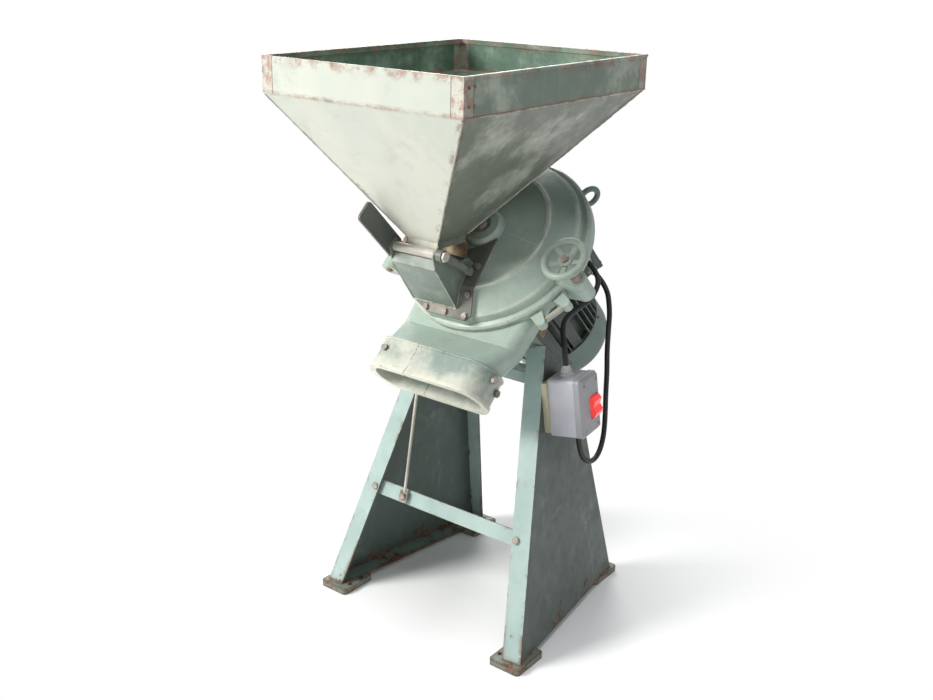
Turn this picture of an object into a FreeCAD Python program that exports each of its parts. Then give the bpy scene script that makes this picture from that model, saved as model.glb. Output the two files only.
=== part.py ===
"""Electric grain mill: a beater mill driven by a foot motor, tilted on a splayed sheet-steel stand.

Row frame: +Z up, the front of the machine towards -Y, the handwheel side at +X. The origin is the
middle of the machine's outline on the floor. The mill and the motor are drawn in their own frame,
with z along the shaft towards the cover and y up the slope, and are then tilted about X.
"""
import FreeCAD, Part
import math
import os
import Sketcher
from FreeCAD import Placement, Rotation, Vector

# Driving dimensions in millimetres, and angles in degrees, by the piece that they shape.
SIZES = {
    # stand
    "tilt": 45.0, "lean": 11.09, "top_half_width": 162.6, "top_front_y": -15.6, "top_height": 648.0,
    "top_edge": 200.0, "stand_front_y": -238.0, "stand_rear_y": 238.0, "panel_plate": 5.0,
    "panel_flange": 44.0, "foot_plate": 14.0, "foot_width": 78.0, "foot_length": 97.0,
    "foot_overhang": 20.0, "foot_corner": 9.0, "foot_hole": 5.0, "foot_hole_pitch": 38.0,
    "foot_step": 8.0, "foot_hole_inset": 10.0,
    "bar_height": 34.0, "bar_plate": 6.0, "bar_level": 249.0, "bar_half_length": 212.0,
    "bar_bolt": 5.0, "bar_bolt_place": 203.0, "rod_radius": 3.5, "rod_place": -118.0,
    # shaft line and bed
    "axis_y": 156.5, "axis_height": 700.0, "axis_above_stand": 158.0,
    "bed_plate": 10.0, "bed_half_width": 156.0, "bed_rear": -112.0, "bed_front": 126.0,
    "bed_lip": 34.0, "bed_window": 62.0, "rail_width": 42.0, "rail_wall": 5.0,
    "rail_rear": -116.0, "rail_front": 64.0,
    # motor
    "shaft_height": 112.0, "foot_bolt_gauge": 190.0, "foot_bolt_pitch": 140.0, "foot_bolt": 6.0,
    "foot_centre": -34.0, "motor_foot": 14.0, "frame_radius": 97.0, "fin_radius": 116.0,
    "fin_plate": 3.4, "frame_bore": 62.0, "frame_rear": -131.0, "frame_front": 57.0,
    "shield_front": 80.0, "shield_radius": 108.0, "flange_radius": 122.0, "flange_plate": 11.0,
    "bearing_radius": 36.0, "bearing_width": 19.0, "shaft_radius": 15.0, "rotor_radius": 61.4,
    "rear_shield": 17.0, "cowl_radius": 117.0, "cowl_wall": 3.0, "cowl_rear": -225.0,
    "cowl_round": 26.0, "fan_radius": 84.0, "fan_depth": 34.0,
    "box_side": 96.0, "box_height": 38.0, "box_lid": 9.0, "box_seat": 121.0, "box_place": 10.0,
    # mill housing
    "housing_rear": 126.0, "parting": 190.0, "rim_radius": 218.0, "rim_plate": 20.0,
    "housing_radius": 197.0, "chamber_radius": 174.0, "housing_wall": 9.0, "hub_bore": 33.0,
    "screen_gap": 1.0, "screen_wall": 4.0, "chute_offset": 12.0, "chute_half_width": 142.0,
    "chute_root_half": 158.0, "chute_front": 230.0, "chute_back": 138.0, "chute_flare": 284.0,
    "chute_straight": 22.0, "chute_wall": 8.0, "collar_set": 4.0, "collar_length": 74.0,
    "collar_wall": 7.0, "collar_lip": 5.0,
    # cover
    "joint_gap": 0.3, "cover_plate": 13.0, "cover_flat": 255.0, "cover_wall": 11.0,
    "ring_radius": 145.0, "ring_width": 10.0, "ring_height": 4.0, "boss_radius": 44.0,
    "boss_height": 17.0, "centre_bore": 10.0, "shoulder_radius": 201.0, "shoulder_height": 222.0,
    # hinge and clamp
    "hinge_reach": 242.0, "hinge_pin": 7.5, "hinge_fit": 0.05, "knuckle_radius": 20.0,
    "knuckle_length": 24.0, "hinge_upper": 76.0, "hinge_lower": -92.0, "hinge_slack": 0.4,
    "clamp_reach": 238.0, "clamp_drop": 47.0, "clamp_screw": 8.0, "clamp_play": 2.0,
    "lug_radius": 19.0, "lug_depth": 40.0, "cover_lug": 22.0, "wheel_radius": 42.5,
    "wheel_rim": 7.5, "wheel_level": 284.0, "wheel_hub": 15.0, "wheel_dish": 10.0,
    # feed
    "feed_left": -98.0, "feed_right": 20.0, "feed_wall": 3.0, "feed_pad": 259.0,
    "feed_plate": 4.0, "lever_radius": 8.0, "lever_slope": 144.6, "lever_level": 373.7,
    # hopper
    "hopper_top": 1250.0, "hopper_knee": 1181.0, "hopper_centre_x": -2.5,
    "hopper_half_width": 245.0, "hopper_front_y": -421.0, "hopper_rear_y": 193.0,
    "spout_left": -65.0, "spout_right": 14.0, "spout_front_y": -204.0, "spout_rear_y": -112.0,
    "spout_top": 885.0, "spout_bottom": 871.0, "sheet": 3.0, "hem": 6.0,
    # switch
    "switch_depth": 60.0, "switch_lid": 20.0, "switch_width": 86.0, "switch_height": 129.0,
    "switch_spacer": 12.0, "switch_wall": 3.0, "cable_radius": 6.0, "gland_radius": 12.0,
}


class Size:
    """A number together with the text that states it in terms of the sheet."""

    def __init__(self, value, text):
        self.value = value
        self.text = text

    def _join(self, other, sign, turned=False):
        other = size(other)
        first, last = (other, self) if turned else (self, other)
        text = f"({first.text} {sign} {last.text})"
        a, b = first.value, last.value
        value = {"+": a + b, "-": a - b, "*": a * b}[sign] if sign != "/" else a / b
        return Size(value, text)

    def __add__(self, other):
        return self._join(other, "+")

    def __radd__(self, other):
        return self._join(other, "+", True)

    def __sub__(self, other):
        return self._join(other, "-")

    def __rsub__(self, other):
        return self._join(other, "-", True)

    def __mul__(self, other):
        return self._join(other, "*")

    def __rmul__(self, other):
        return self._join(other, "*", True)

    def __truediv__(self, other):
        return self._join(other, "/")

    def __neg__(self):
        return 0 - self


def size(value):
    """Any number or size as a size."""
    return value if isinstance(value, Size) else Size(float(value), repr(float(value)))


def sine(angle):
    return Size(math.sin(math.radians(angle.value)), f"sin({angle.text})")


def cosine(angle):
    return Size(math.cos(math.radians(angle.value)), f"cos({angle.text})")


doc = FreeCAD.newDocument("grain_mill")
sheet = doc.addObject("Spreadsheet::Sheet", "Sizes")
for row, (alias, number) in enumerate(SIZES.items(), start=1):
    sheet.set(f"A{row}", str(number))
    sheet.setAlias(f"A{row}", alias)
doc.recompute()


class Driving:
    """Each alias of the sheet as a size."""

    def __getattr__(self, alias):
        return Size(float(sheet.get(alias)), f"Sizes.{alias}")


d = Driving()
nodes = []

# The machine's outline runs from the hopper's front rim to the fan cowl's rear edge, and its middle
# is the origin.
cowl_reach = (d.cowl_radius - d.cowl_round - d.cowl_rear - d.cowl_round) * sine(d.tilt) + d.cowl_round
middle_y = (d.hopper_front_y + d.axis_y + cowl_reach).value / 2
STAND = Placement(Vector(0, -middle_y, 0), Rotation())
AXIS = Vector(0, d.axis_y.value - middle_y, d.axis_height.value)
MILL = Placement(AXIS, Rotation(Vector(1, 0, 0), d.tilt.value))


def new_body(label, placement):
    body = doc.addObject("PartDesign::Body", label)
    body.Label = label
    body.Placement = placement
    nodes.append(body)
    return body


def new_sketch(body, plane="XY_Plane", offset=None):
    """A sketch on one of the body's own planes, moved along that plane's normal."""
    sketch = body.newObject("Sketcher::SketchObject", body.Name + "_profile")
    support = [item for item in body.Origin.OriginFeatures if item.Role == plane][0]
    sketch.AttachmentSupport = [(support, "")]
    sketch.MapMode = "FlatFace"
    if offset is not None:
        offset = size(offset)
        sketch.AttachmentOffset = Placement(Vector(0, 0, offset.value), Rotation())
        sketch.setExpression("AttachmentOffset.Base.z", offset.text)
    return sketch


def fix_point(sketch, curve, end, x, y):
    """Hold one point of a sketch at a stated place."""
    for kind, place in (("DistanceX", x), ("DistanceY", y)):
        number = sketch.addConstraint(Sketcher.Constraint(kind, -1, 1, curve, end, place.value))
        sketch.setExpression(f"Constraints[{number}]", place.text)


def polygon(sketch, points):
    """A closed outline of straight lines through points held by the sheet."""
    points = [(size(x), size(y)) for x, y in points]
    first = sketch.GeometryCount
    count = len(points)
    for index in range(count):
        start = points[index]
        end = points[(index + 1) % count]
        from_point = Vector(start[0].value, start[1].value, 0)
        to_point = Vector(end[0].value, end[1].value, 0)
        sketch.addGeometry(Part.LineSegment(from_point, to_point))
    for index in range(count):
        following = first + (index + 1) % count
        sketch.addConstraint(Sketcher.Constraint("Coincident", first + index, 2, following, 1))
    for index, (x, y) in enumerate(points):
        fix_point(sketch, first + index, 1, x, y)


def box_outline(sketch, left, right, low, high):
    polygon(sketch, [(left, low), (right, low), (right, high), (left, high)])


def circle(sketch, x, y, radius):
    x, y, radius = size(x), size(y), size(radius)
    curve = sketch.addGeometry(Part.Circle(Vector(x.value, y.value, 0), Vector(0, 0, 1), radius.value))
    number = sketch.addConstraint(Sketcher.Constraint("Radius", curve, radius.value))
    sketch.setExpression(f"Constraints[{number}]", radius.text)
    fix_point(sketch, curve, 3, x, y)


def rounded_box(sketch, left, right, low, high, corner):
    """A rectangle with round corners, drawn as four lines and four arcs."""
    left, right, low, high, corner = [size(item) for item in (left, right, low, high, corner)]
    centres = [(left + corner, low + corner, 180), (right - corner, low + corner, 270),
               (right - corner, high - corner, 0), (left + corner, high - corner, 90)]
    first = sketch.GeometryCount
    for x, y, start in centres:
        round_edge = Part.Circle(Vector(x.value, y.value, 0), Vector(0, 0, 1), corner.value)
        arc = Part.ArcOfCircle(round_edge, math.radians(start), math.radians(start + 90))
        sketch.addGeometry(arc)
    for index in range(4):
        start = sketch.Geometry[first + index].EndPoint
        end = sketch.Geometry[first + (index + 1) % 4].StartPoint
        line = sketch.addGeometry(Part.LineSegment(start, end))
        sketch.addConstraint(Sketcher.Constraint("Tangent", first + index, 2, line, 1))
        sketch.addConstraint(Sketcher.Constraint("Tangent", line, 2, first + (index + 1) % 4, 1))
    for index, (x, y, start) in enumerate(centres):
        fix_point(sketch, first + index, 3, x, y)
    number = sketch.addConstraint(Sketcher.Constraint("Radius", first, corner.value))
    sketch.setExpression(f"Constraints[{number}]", corner.text)


def pad(body, sketch, length, reverse=False):
    length = size(length)
    feature = body.newObject("PartDesign::Pad", body.Name + "_pad")
    feature.Profile = sketch
    feature.Length = length.value
    feature.setExpression("Length", length.text)
    feature.Reversed = reverse
    return feature


def pocket(body, sketch, length, reverse=False):
    length = size(length)
    feature = body.newObject("PartDesign::Pocket", body.Name + "_pocket")
    feature.Profile = sketch
    feature.Length = length.value
    feature.setExpression("Length", length.text)
    feature.Reversed = reverse
    return feature


def revolve(body, points, cut=False, plane="XZ_Plane"):
    """A turned form about the body's z axis, from its half outline of radius and height."""
    sketch = new_sketch(body, plane)
    polygon(sketch, points)
    kind = "PartDesign::Groove" if cut else "PartDesign::Revolution"
    feature = body.newObject(kind, body.Name + "_turned")
    feature.Profile = sketch
    feature.ReferenceAxis = (sketch, ["V_Axis"])
    feature.Angle = 360
    return feature


def polar(body, feature, count, angle=360.0):
    pattern = body.newObject("PartDesign::PolarPattern", body.Name + "_pattern")
    pattern.Originals = [feature]
    pattern.Axis = ([item for item in body.Origin.OriginFeatures if item.Role == "Z_Axis"][0], [""])
    pattern.Angle = angle
    pattern.Occurrences = count
    body.Tip = pattern
    return pattern


def loft(body, sketches, cut=False):
    kind = "PartDesign::SubtractiveLoft" if cut else "PartDesign::AdditiveLoft"
    feature = body.newObject(kind, body.Name + "_loft")
    feature.Profile = sketches[0]
    feature.Sections = sketches[1:]
    feature.Ruled = True
    return feature


def dress(body, kind, amount, chosen):
    """A fillet or a chamfer on the edges of the body's last feature that the test picks."""
    doc.recompute()
    base = body.Tip
    names = [f"Edge{number}" for number, edge in enumerate(base.Shape.Edges, start=1) if chosen(edge)]
    feature = body.newObject("PartDesign::" + kind, body.Name + "_" + kind.lower())
    feature.Base = (base, names)
    prop = "Radius" if kind == "Fillet" else "Size"
    setattr(feature, prop, amount.value)
    feature.setExpression(prop, amount.text)
    return feature


def plain_solid(label, shape, placement=None):
    """A node whose shape is worked out from the sheet's numbers."""
    feature = doc.addObject("Part::Feature", label)
    feature.Label = label
    feature.Shape = shape
    if placement is not None:
        feature.Placement = placement
    nodes.append(feature)
    return feature


def circular_edge(radius, level=None):
    """Test for a round edge of one radius about the z axis, at one height if it is given."""
    def chosen(edge):
        if not isinstance(edge.Curve, Part.Circle) or abs(edge.Curve.Radius - radius) > 0.01:
            return False
        return level is None or abs(edge.Curve.Center.z - level) < 0.01
    return chosen


def hex_bolt(radius, length, at, direction, nut=False):
    """A hexagon bolt: its head lies on the point, and its shank runs back from it."""
    across = radius * 1.7
    head_height = radius * 1.3
    corners = [Vector(across * math.cos(math.radians(60 * k)), across * math.sin(math.radians(60 * k)), 0)
               for k in range(7)]
    head = Part.Face(Part.makePolygon(corners)).extrude(Vector(0, 0, head_height))
    shank = Part.makeCylinder(radius, length, Vector(0, 0, -length), Vector(0, 0, 1))
    bolt = head.fuse(shank)
    if nut:
        bolt = bolt.fuse(head.translated(Vector(0, 0, -length)))
    bolt = bolt.removeSplitter()
    bolt.Placement = Placement(at, Rotation(Vector(0, 0, 1), direction))
    return bolt


def ring_of(count, radius, start=0.0):
    """Places on a circle, as pairs of coordinates."""
    turns = [math.radians(start + 360.0 * k / count) for k in range(count)]
    return [(radius * math.cos(turn), radius * math.sin(turn)) for turn in turns]


# Stand: two trays of sheet steel, splayed about their tilted top edges.
fall = d.top_height - d.foot_plate
along = cosine(d.tilt)
front_run = d.stand_front_y - d.top_front_y
rear_run = d.stand_rear_y - d.top_front_y
panel_front_x = (front_run + fall) * along
panel_front_y = -((fall - front_run) * along) / cosine(d.lean)
panel_rear_x = (rear_run + fall) * along
panel_rear_y = -((fall - rear_run) * along) / cosine(d.lean)
lean_sin = math.sin(math.radians(d.lean.value))
lean_cos = math.cos(math.radians(d.lean.value))
slope = math.sin(math.radians(d.tilt.value))


def panel_placement(side):
    """Frame of a side panel: x down its top edge, y up in its plane, z out of it or into it."""
    x_dir = Vector(0, slope, -slope)
    y_dir = Vector(-side * lean_sin, lean_cos * slope, lean_cos * slope)
    z_dir = x_dir.cross(y_dir)
    corner = Vector(side * d.top_half_width.value, d.top_front_y.value - middle_y, d.top_height.value)
    return Placement(corner, Rotation(x_dir, y_dir, z_dir, "XYZ"))


def side_panel(label, side):
    body = new_body(label, panel_placement(side))
    sketch = new_sketch(body)
    polygon(sketch, [(0, 0), (d.top_edge, 0), (panel_rear_x, panel_rear_y), (panel_front_x, panel_front_y)])
    tray = pad(body, sketch, d.panel_flange, reverse=(side > 0))
    doc.recompute()
    open_level = -side * d.panel_flange.value
    names = [f"Face{number}" for number, face in enumerate(tray.Shape.Faces, start=1)
             if abs(face.CenterOfMass.z - open_level) < 1e-6]
    shell = body.newObject("PartDesign::Thickness", label + "_shell")
    shell.Base = (tray, names)
    shell.Value = d.panel_plate.value
    shell.setExpression("Value", d.panel_plate.text)
    shell.Reversed = True
    shell.Join = 1
    return body


panels = [side_panel("side_panel_right", 1), side_panel("side_panel_left", -1)]
doc.recompute()

# Feet: four plates under the panels' bottom corners, each with two holes for floor bolts.
front_outer = d.top_half_width.value + (fall - front_run).value * slope * lean_sin / lean_cos
rear_outer = d.top_half_width.value + (fall - rear_run).value * slope * lean_sin / lean_cos
foot_solids = []
foot_holes = []
foot_ends = ((front_outer, d.stand_front_y.value, -1), (rear_outer, d.stand_rear_y.value, 1))
for side in (-1, 1):
    for outer, edge, way in foot_ends:
        width = d.foot_width.value
        middle_x = side * (outer + d.foot_step.value - width / 2)
        hole_x = side * (outer + d.foot_step.value - width + d.foot_hole_inset.value)
        low_y = edge + way * d.foot_overhang.value
        centre_y = low_y - way * d.foot_length.value / 2
        foot_holes.append((hole_x, centre_y - middle_y))
        corner = Vector(middle_x - width / 2, centre_y - d.foot_length.value / 2 - middle_y, 0)
        plate = Part.makeBox(width, d.foot_length.value, d.foot_plate.value, corner)
        upright = [edge_ for edge_ in plate.Edges if abs(edge_.tangentAt(edge_.FirstParameter).z) > 0.9]
        plate = plate.makeFillet(d.foot_corner.value, upright)
        for step in (-1, 1):
            place = Vector(hole_x, centre_y - middle_y + step * d.foot_hole_pitch.value / 2, 0)
            plate = plate.cut(Part.makeCylinder(d.foot_hole.value, d.foot_plate.value, place))
        for panel in panels:
            plate = plate.cut(panel.Shape)
        foot_solids.append(plate)
plain_solid("foot_plates", Part.makeCompound(foot_solids))

# Cross bar behind the front flanges, set to their slope, with its bolts and the hanging stay rod.
flange_turn = math.degrees(math.atan2(-front_run.value, fall.value))
bar_gap = 4.0 / lean_cos
bar_y = d.top_front_y.value + (d.top_height.value - d.bar_level.value) * front_run.value / fall.value
bar_frame = Placement(Vector(0, bar_y + d.panel_plate.value + bar_gap - middle_y, d.bar_level.value),
                      Rotation(Vector(1, 0, 0), -flange_turn))
bar = new_body("cross_bar", bar_frame)
outline = new_sketch(bar, "XZ_Plane")
box_outline(outline, -d.bar_half_length, d.bar_half_length, -d.bar_height / 2, d.bar_height / 2)
for place in (-d.bar_bolt_place, d.bar_bolt_place, d.rod_place):
    circle(outline, place, 0, d.bar_bolt)
pad(bar, outline, d.bar_plate, reverse=True)
bar_out = bar_frame.Rotation.multVec(Vector(0, -1, 0))
bolts = []
for place in (-d.bar_bolt_place.value, d.bar_bolt_place.value):
    bolts.append(hex_bolt(d.bar_bolt.value, d.bar_plate.value + 8.0,
                          bar_frame.multVec(Vector(place, -9.5, 0)), bar_out))
plain_solid("cross_bar_bolts", Part.makeCompound(bolts))

rod_low = bar_frame.multVec(Vector(d.rod_place.value, -d.rod_radius.value - 0.3, -13.0))
rod_end = rod_low + Vector(6.0, 40.0, 274.0)
rod_way = rod_end - rod_low
rod = Part.makeCylinder(d.rod_radius.value, rod_way.Length, rod_low, rod_way)
plain_solid("stay_rod", rod)
clamp_at = bar_frame.multVec(Vector(d.rod_place.value, -11.0, 0))
clamp_bolt = hex_bolt(d.bar_bolt.value, 18.0, clamp_at, bar_out)
clamp_plate = Part.makeBox(22, 4, 26, Vector(-11, 0, -13))
clamp_plate.Placement = Placement(clamp_at, bar_frame.Rotation)
plain_solid("stay_rod_clamp", clamp_bolt.fuse(clamp_plate).cut(rod))

# Motor bed: a folded plate on the panels' top edges, with two channel rails under the motor feet.
bed_top = -d.axis_above_stand + d.bed_plate
bed = new_body("motor_bed", MILL)
outline = new_sketch(bed, offset=d.bed_rear)
box_outline(outline, -d.bed_half_width, d.bed_half_width, bed_top - d.bed_plate, bed_top)
pad(bed, outline, d.bed_front - d.bed_rear)
lip = new_sketch(bed, offset=d.bed_rear)
lip_inset = 46.0
box_outline(lip, -d.bed_half_width + lip_inset, d.bed_half_width - lip_inset,
            bed_top - d.bed_lip, bed_top)
pad(bed, lip, d.panel_plate)
front_lip = new_sketch(bed, offset=d.bed_front - d.panel_plate)
box_outline(front_lip, -d.bed_half_width + lip_inset, d.bed_half_width - lip_inset,
            bed_top - d.bed_lip, bed_top)
pad(bed, front_lip, d.panel_plate)
window = new_sketch(bed, "XZ_Plane", -(bed_top + 1))
rounded_box(window, -d.bed_window, d.bed_window, d.bed_rear + 34, d.bed_front - 60, 14.0)
pocket(bed, window, d.bed_plate + 2, reverse=True)

rail_top = -d.shaft_height
rail_height = rail_top - bed_top
rails = []
for side in (-1, 1):
    middle = side * d.foot_bolt_gauge.value / 2
    size_x, size_y = d.rail_width.value, rail_height.value
    length = (d.rail_front - d.rail_rear).value
    low = Vector(middle - size_x / 2, bed_top.value, d.rail_rear.value)
    channel = Part.makeBox(size_x, size_y, length, low)
    inner = Part.makeBox(size_x - 2 * d.rail_wall.value, size_y - d.rail_wall.value, length,
                         low + Vector(d.rail_wall.value, 0, 0))
    rails.append(channel.cut(inner))
plain_solid("motor_rails", Part.makeCompound(rails), MILL)

# Motor: a finned frame with feet, its end shields, bearings, cowl and terminal box.
frame = new_body("motor_frame", MILL)
revolve(frame, [(d.frame_bore, d.frame_rear), (d.frame_radius, d.frame_rear),
                (d.frame_radius, d.frame_front), (d.frame_bore, d.frame_front)])
FIN_STEP = 8.5
BOX_TURN = 60.0


def fin_group(start, count):
    """Fins along the frame, spread about the shaft from one angle on."""
    sketch = new_sketch(frame, offset=d.frame_rear + 2)
    turn = math.radians(start)
    out = (math.cos(turn), math.sin(turn))
    across = (-out[1], out[0])
    half = d.fin_plate / 2
    root = d.frame_radius - 4
    polygon(sketch, [(root * out[0] - half * across[0], root * out[1] - half * across[1]),
                     (d.fin_radius * out[0] - half * across[0], d.fin_radius * out[1] - half * across[1]),
                     (d.fin_radius * out[0] + half * across[0], d.fin_radius * out[1] + half * across[1]),
                     (root * out[0] + half * across[0], root * out[1] + half * across[1])])
    fin = pad(frame, sketch, d.frame_front - d.frame_rear - 4)
    polar(frame, fin, count, FIN_STEP * (count - 1))


fin_group(90.5, 12)
fin_group(-4.0, 5)
fin_group(207.0, 5)
fin_group(-69.0, 5)
for start in (187.0, -33.0):
    flat = new_sketch(frame, offset=d.frame_rear + 2)
    turn = math.radians(start + 9)
    out = (math.cos(turn), math.sin(turn))
    across = (-out[1], out[0])
    corners = []
    for reach, shift in ((90.0, -13.0), (112.5, -13.0), (112.5, 13.0), (90.0, 13.0)):
        corners.append((reach * out[0] + shift * across[0], reach * out[1] + shift * across[1]))
    polygon(flat, corners)
    pad(frame, flat, d.frame_front - d.frame_rear - 4)
foot_half = d.foot_bolt_pitch / 2 + 18
for side in (-1, 1):
    foot = new_sketch(frame, offset=d.foot_centre - foot_half)
    inner = side * (d.foot_bolt_gauge / 2 - 42)
    outer = side * (d.foot_bolt_gauge / 2 + 20)
    polygon(foot, [(inner, rail_top), (outer, rail_top), (outer, rail_top + d.motor_foot),
                   (side * (d.foot_bolt_gauge / 2 - 13), rail_top + d.motor_foot),
                   (side * (d.foot_bolt_gauge / 2 - 22), rail_top + 30), (inner, rail_top + 40)])
    pad(frame, foot, foot_half * 2)
holes = new_sketch(frame, "XZ_Plane", -(rail_top - 1))
for x, z in ((-1, -1), (-1, 1), (1, -1), (1, 1)):
    circle(holes, x * d.foot_bolt_gauge / 2, d.foot_centre + z * d.foot_bolt_pitch / 2, d.foot_bolt)
pocket(frame, holes, 36.0, reverse=False)
seat = new_sketch(frame, "XY_Plane", d.box_place - d.box_side / 2)
half = d.box_side / 2
seat_root = size(80.0)
turn = math.radians(BOX_TURN)
turn_cos = math.cos(turn)
turn_sin = math.sin(turn)
corners = []
for reach, shift in ((seat_root, -half), (d.box_seat, -half), (d.box_seat, half), (seat_root, half)):
    corners.append((reach * turn_cos - shift * turn_sin, reach * turn_sin + shift * turn_cos))
polygon(seat, corners)
pad(frame, seat, d.frame_front - 1 - (d.box_place - d.box_side / 2))

foot_bolts = []
for x in (-1, 1):
    for z in (-1, 1):
        at = Vector(x * d.foot_bolt_gauge.value / 2, (rail_top + d.motor_foot).value + 4,
                    (d.foot_centre + z * d.foot_bolt_pitch / 2).value)
        bolt = hex_bolt(d.foot_bolt.value - 0.5, d.motor_foot.value + 3.9, at, Vector(0, 1, 0))
        washer = Part.makeCylinder(11, 4, at - Vector(0, 4, 0), Vector(0, 1, 0))
        foot_bolts.append(bolt.fuse(washer))

shield = new_body("front_end_shield", MILL)
bearing_front = d.shield_front - 4
revolve(shield, [(d.shaft_radius + 1, d.shield_front), (d.flange_radius, d.shield_front),
                 (d.flange_radius, d.shield_front - d.flange_plate),
                 (d.shield_radius - 2.5, d.shield_front - d.flange_plate),
                 (d.shield_radius - 2.5, d.frame_front + 4),
                 (d.shield_radius, d.frame_front), (d.bearing_radius + 7, d.frame_front),
                 (d.bearing_radius, d.frame_front), (d.bearing_radius, bearing_front),
                 (d.shaft_radius + 1, bearing_front)])
FLANGE_BOLT = 5.0
FLANGE_CIRCLE = 115.0
FLANGE_PLACES = ring_of(4, FLANGE_CIRCLE, 45.0)
sketch = new_sketch(shield, offset=d.shield_front - d.flange_plate - 6)
circle(sketch, *FLANGE_PLACES[0], FLANGE_BOLT)
hole = pocket(shield, sketch, d.flange_plate + 8, reverse=True)
polar(shield, hole, 4)
rear = new_body("rear_end_shield", MILL)
rear_front = d.frame_rear
rear_back = d.frame_rear - d.rear_shield
revolve(rear, [(d.bearing_radius, rear_front), (d.shield_radius, rear_front),
               (d.shield_radius, rear_front - 8), (d.bearing_radius + 10, rear_back),
               (d.shaft_radius + 1, rear_back), (d.shaft_radius + 1, rear_back + 3),
               (d.bearing_radius, rear_back + 3)])
for name, level in (("front_bearing", d.frame_front), ("rear_bearing", rear_back + 3)):
    ring = new_body(name, MILL)
    depth = d.bearing_width if name == "front_bearing" else d.rear_shield - 3
    revolve(ring, [(d.shaft_radius + 0.05, level), (d.bearing_radius, level),
                   (d.bearing_radius, level + depth), (d.shaft_radius + 0.05, level + depth)])

cowl = new_body("fan_cowl", MILL)
cowl_seat = d.frame_rear - 7.5
cowl_inner = d.cowl_radius - d.cowl_wall
cowl_floor = d.cowl_rear + d.cowl_wall
revolve(cowl, [(d.shield_radius, cowl_seat), (d.shield_radius, d.frame_rear), (d.cowl_radius, d.frame_rear),
               (d.cowl_radius, d.cowl_rear), (0, d.cowl_rear), (0, cowl_floor), (cowl_inner, cowl_floor),
               (cowl_inner, cowl_seat)])
dress(cowl, "Fillet", d.cowl_round, circular_edge(d.cowl_radius.value, d.cowl_rear.value))
dress(cowl, "Fillet", d.cowl_round - d.cowl_wall, circular_edge(cowl_inner.value, cowl_floor.value))
slots = new_sketch(cowl, offset=d.cowl_rear - 1)
polygon(slots, [(24, -3), (78, -3), (78, 3), (24, 3)])
slot = pocket(cowl, slots, d.cowl_wall + 2, reverse=True)
polar(cowl, slot, 16)

box_turned = Placement(Vector(0, 0, d.box_place.value), Rotation(Vector(0, 0, 1), BOX_TURN))
terminal_frame = MILL.multiply(box_turned)
terminal = new_body("terminal_box", terminal_frame)
sketch = new_sketch(terminal, "YZ_Plane", d.box_seat)
rounded_box(sketch, -d.box_side / 2, d.box_side / 2, -d.box_side / 2, d.box_side / 2, 8.0)
pad(terminal, sketch, d.box_height)
sketch = new_sketch(terminal, "YZ_Plane", d.box_seat + 4)
rounded_box(sketch, -d.box_side / 2 + 4, d.box_side / 2 - 4, -d.box_side / 2 + 4, d.box_side / 2 - 4, 5.0)
pocket(terminal, sketch, d.box_height, reverse=True)
lid = new_body("terminal_box_lid", terminal_frame)
sketch = new_sketch(lid, "YZ_Plane", d.box_seat + d.box_height)
rounded_box(sketch, -d.box_side / 2 - 1, d.box_side / 2 + 1, -d.box_side / 2 - 1, d.box_side / 2 + 1, 9.0)
pad(lid, sketch, d.box_lid)

# Adapter ring between motor flange and mill, with windows on to the hub.
adapter = new_body("adapter_ring", MILL)
revolve(adapter, [(d.flange_radius - 24, d.shield_front), (d.flange_radius, d.shield_front),
                  (d.flange_radius, d.shield_front + 9), (d.flange_radius - 12, d.shield_front + 14),
                  (d.flange_radius - 12, d.housing_rear - 5), (d.flange_radius, d.housing_rear - 5),
                  (d.flange_radius, d.housing_rear), (d.flange_radius - 24, d.housing_rear)])
sketch = new_sketch(adapter, "XY_Plane", d.shield_front + 15)
polygon(sketch, [(80, -38), (130, -48), (130, 48), (80, 38)])
window = pocket(adapter, sketch, d.housing_rear - d.shield_front - 25, reverse=True)
polar(adapter, window, 4)
HOUSING_BOLT = 4.0
HOUSING_CIRCLE = 117.0
HOUSING_PLACES = ring_of(6, HOUSING_CIRCLE, 30.0)
sketch = new_sketch(adapter, offset=d.housing_rear - 12)
circle(sketch, *HOUSING_PLACES[0], HOUSING_BOLT)
hole = pocket(adapter, sketch, 16.0, reverse=True)
polar(adapter, hole, 6)

# Mill housing: a turned casting with a chute down the slope, a clamp lug and hinge knuckles.
housing = new_body("mill_housing", MILL)
step = d.parting - d.rim_plate
revolve(housing, [(d.hub_bore, d.housing_rear), (d.housing_radius - 16, d.housing_rear),
                  (d.housing_radius - 6, d.housing_rear + 12), (d.housing_radius + 3, step),
                  (d.rim_radius, step), (d.rim_radius, d.parting), (d.hub_bore, d.parting)])


def chute_section(body, level, half, back, front, corner):
    """A rounded oblong across the chute, at one distance down the slope from the shaft."""
    sketch = new_sketch(body, "XZ_Plane", level)
    rounded_box(sketch, d.chute_offset - half, d.chute_offset + half, back, front, corner)
    return sketch


chute_corner = (d.chute_front - d.chute_back) / 2 - 3
root_back = d.housing_rear + 2
root_front = d.parting - 2
neck_level = d.rim_radius + 8
neck_half = d.chute_root_half - 6


def chute_end_section(inset):
    """The oblong where the chute becomes a straight tube, drawn in by an inset."""
    return chute_section(housing, d.chute_flare, d.chute_half_width - inset, d.chute_back + inset,
                         d.chute_front - inset, chute_corner - inset)


sections = [chute_section(housing, 90.0, d.chute_root_half, root_back, root_front, 20.0),
            chute_section(housing, neck_level, neck_half, root_back + 1, root_front, 24.0),
            chute_end_section(0)]
loft(housing, sections)
pad(housing, chute_end_section(0), d.chute_straight)


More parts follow.
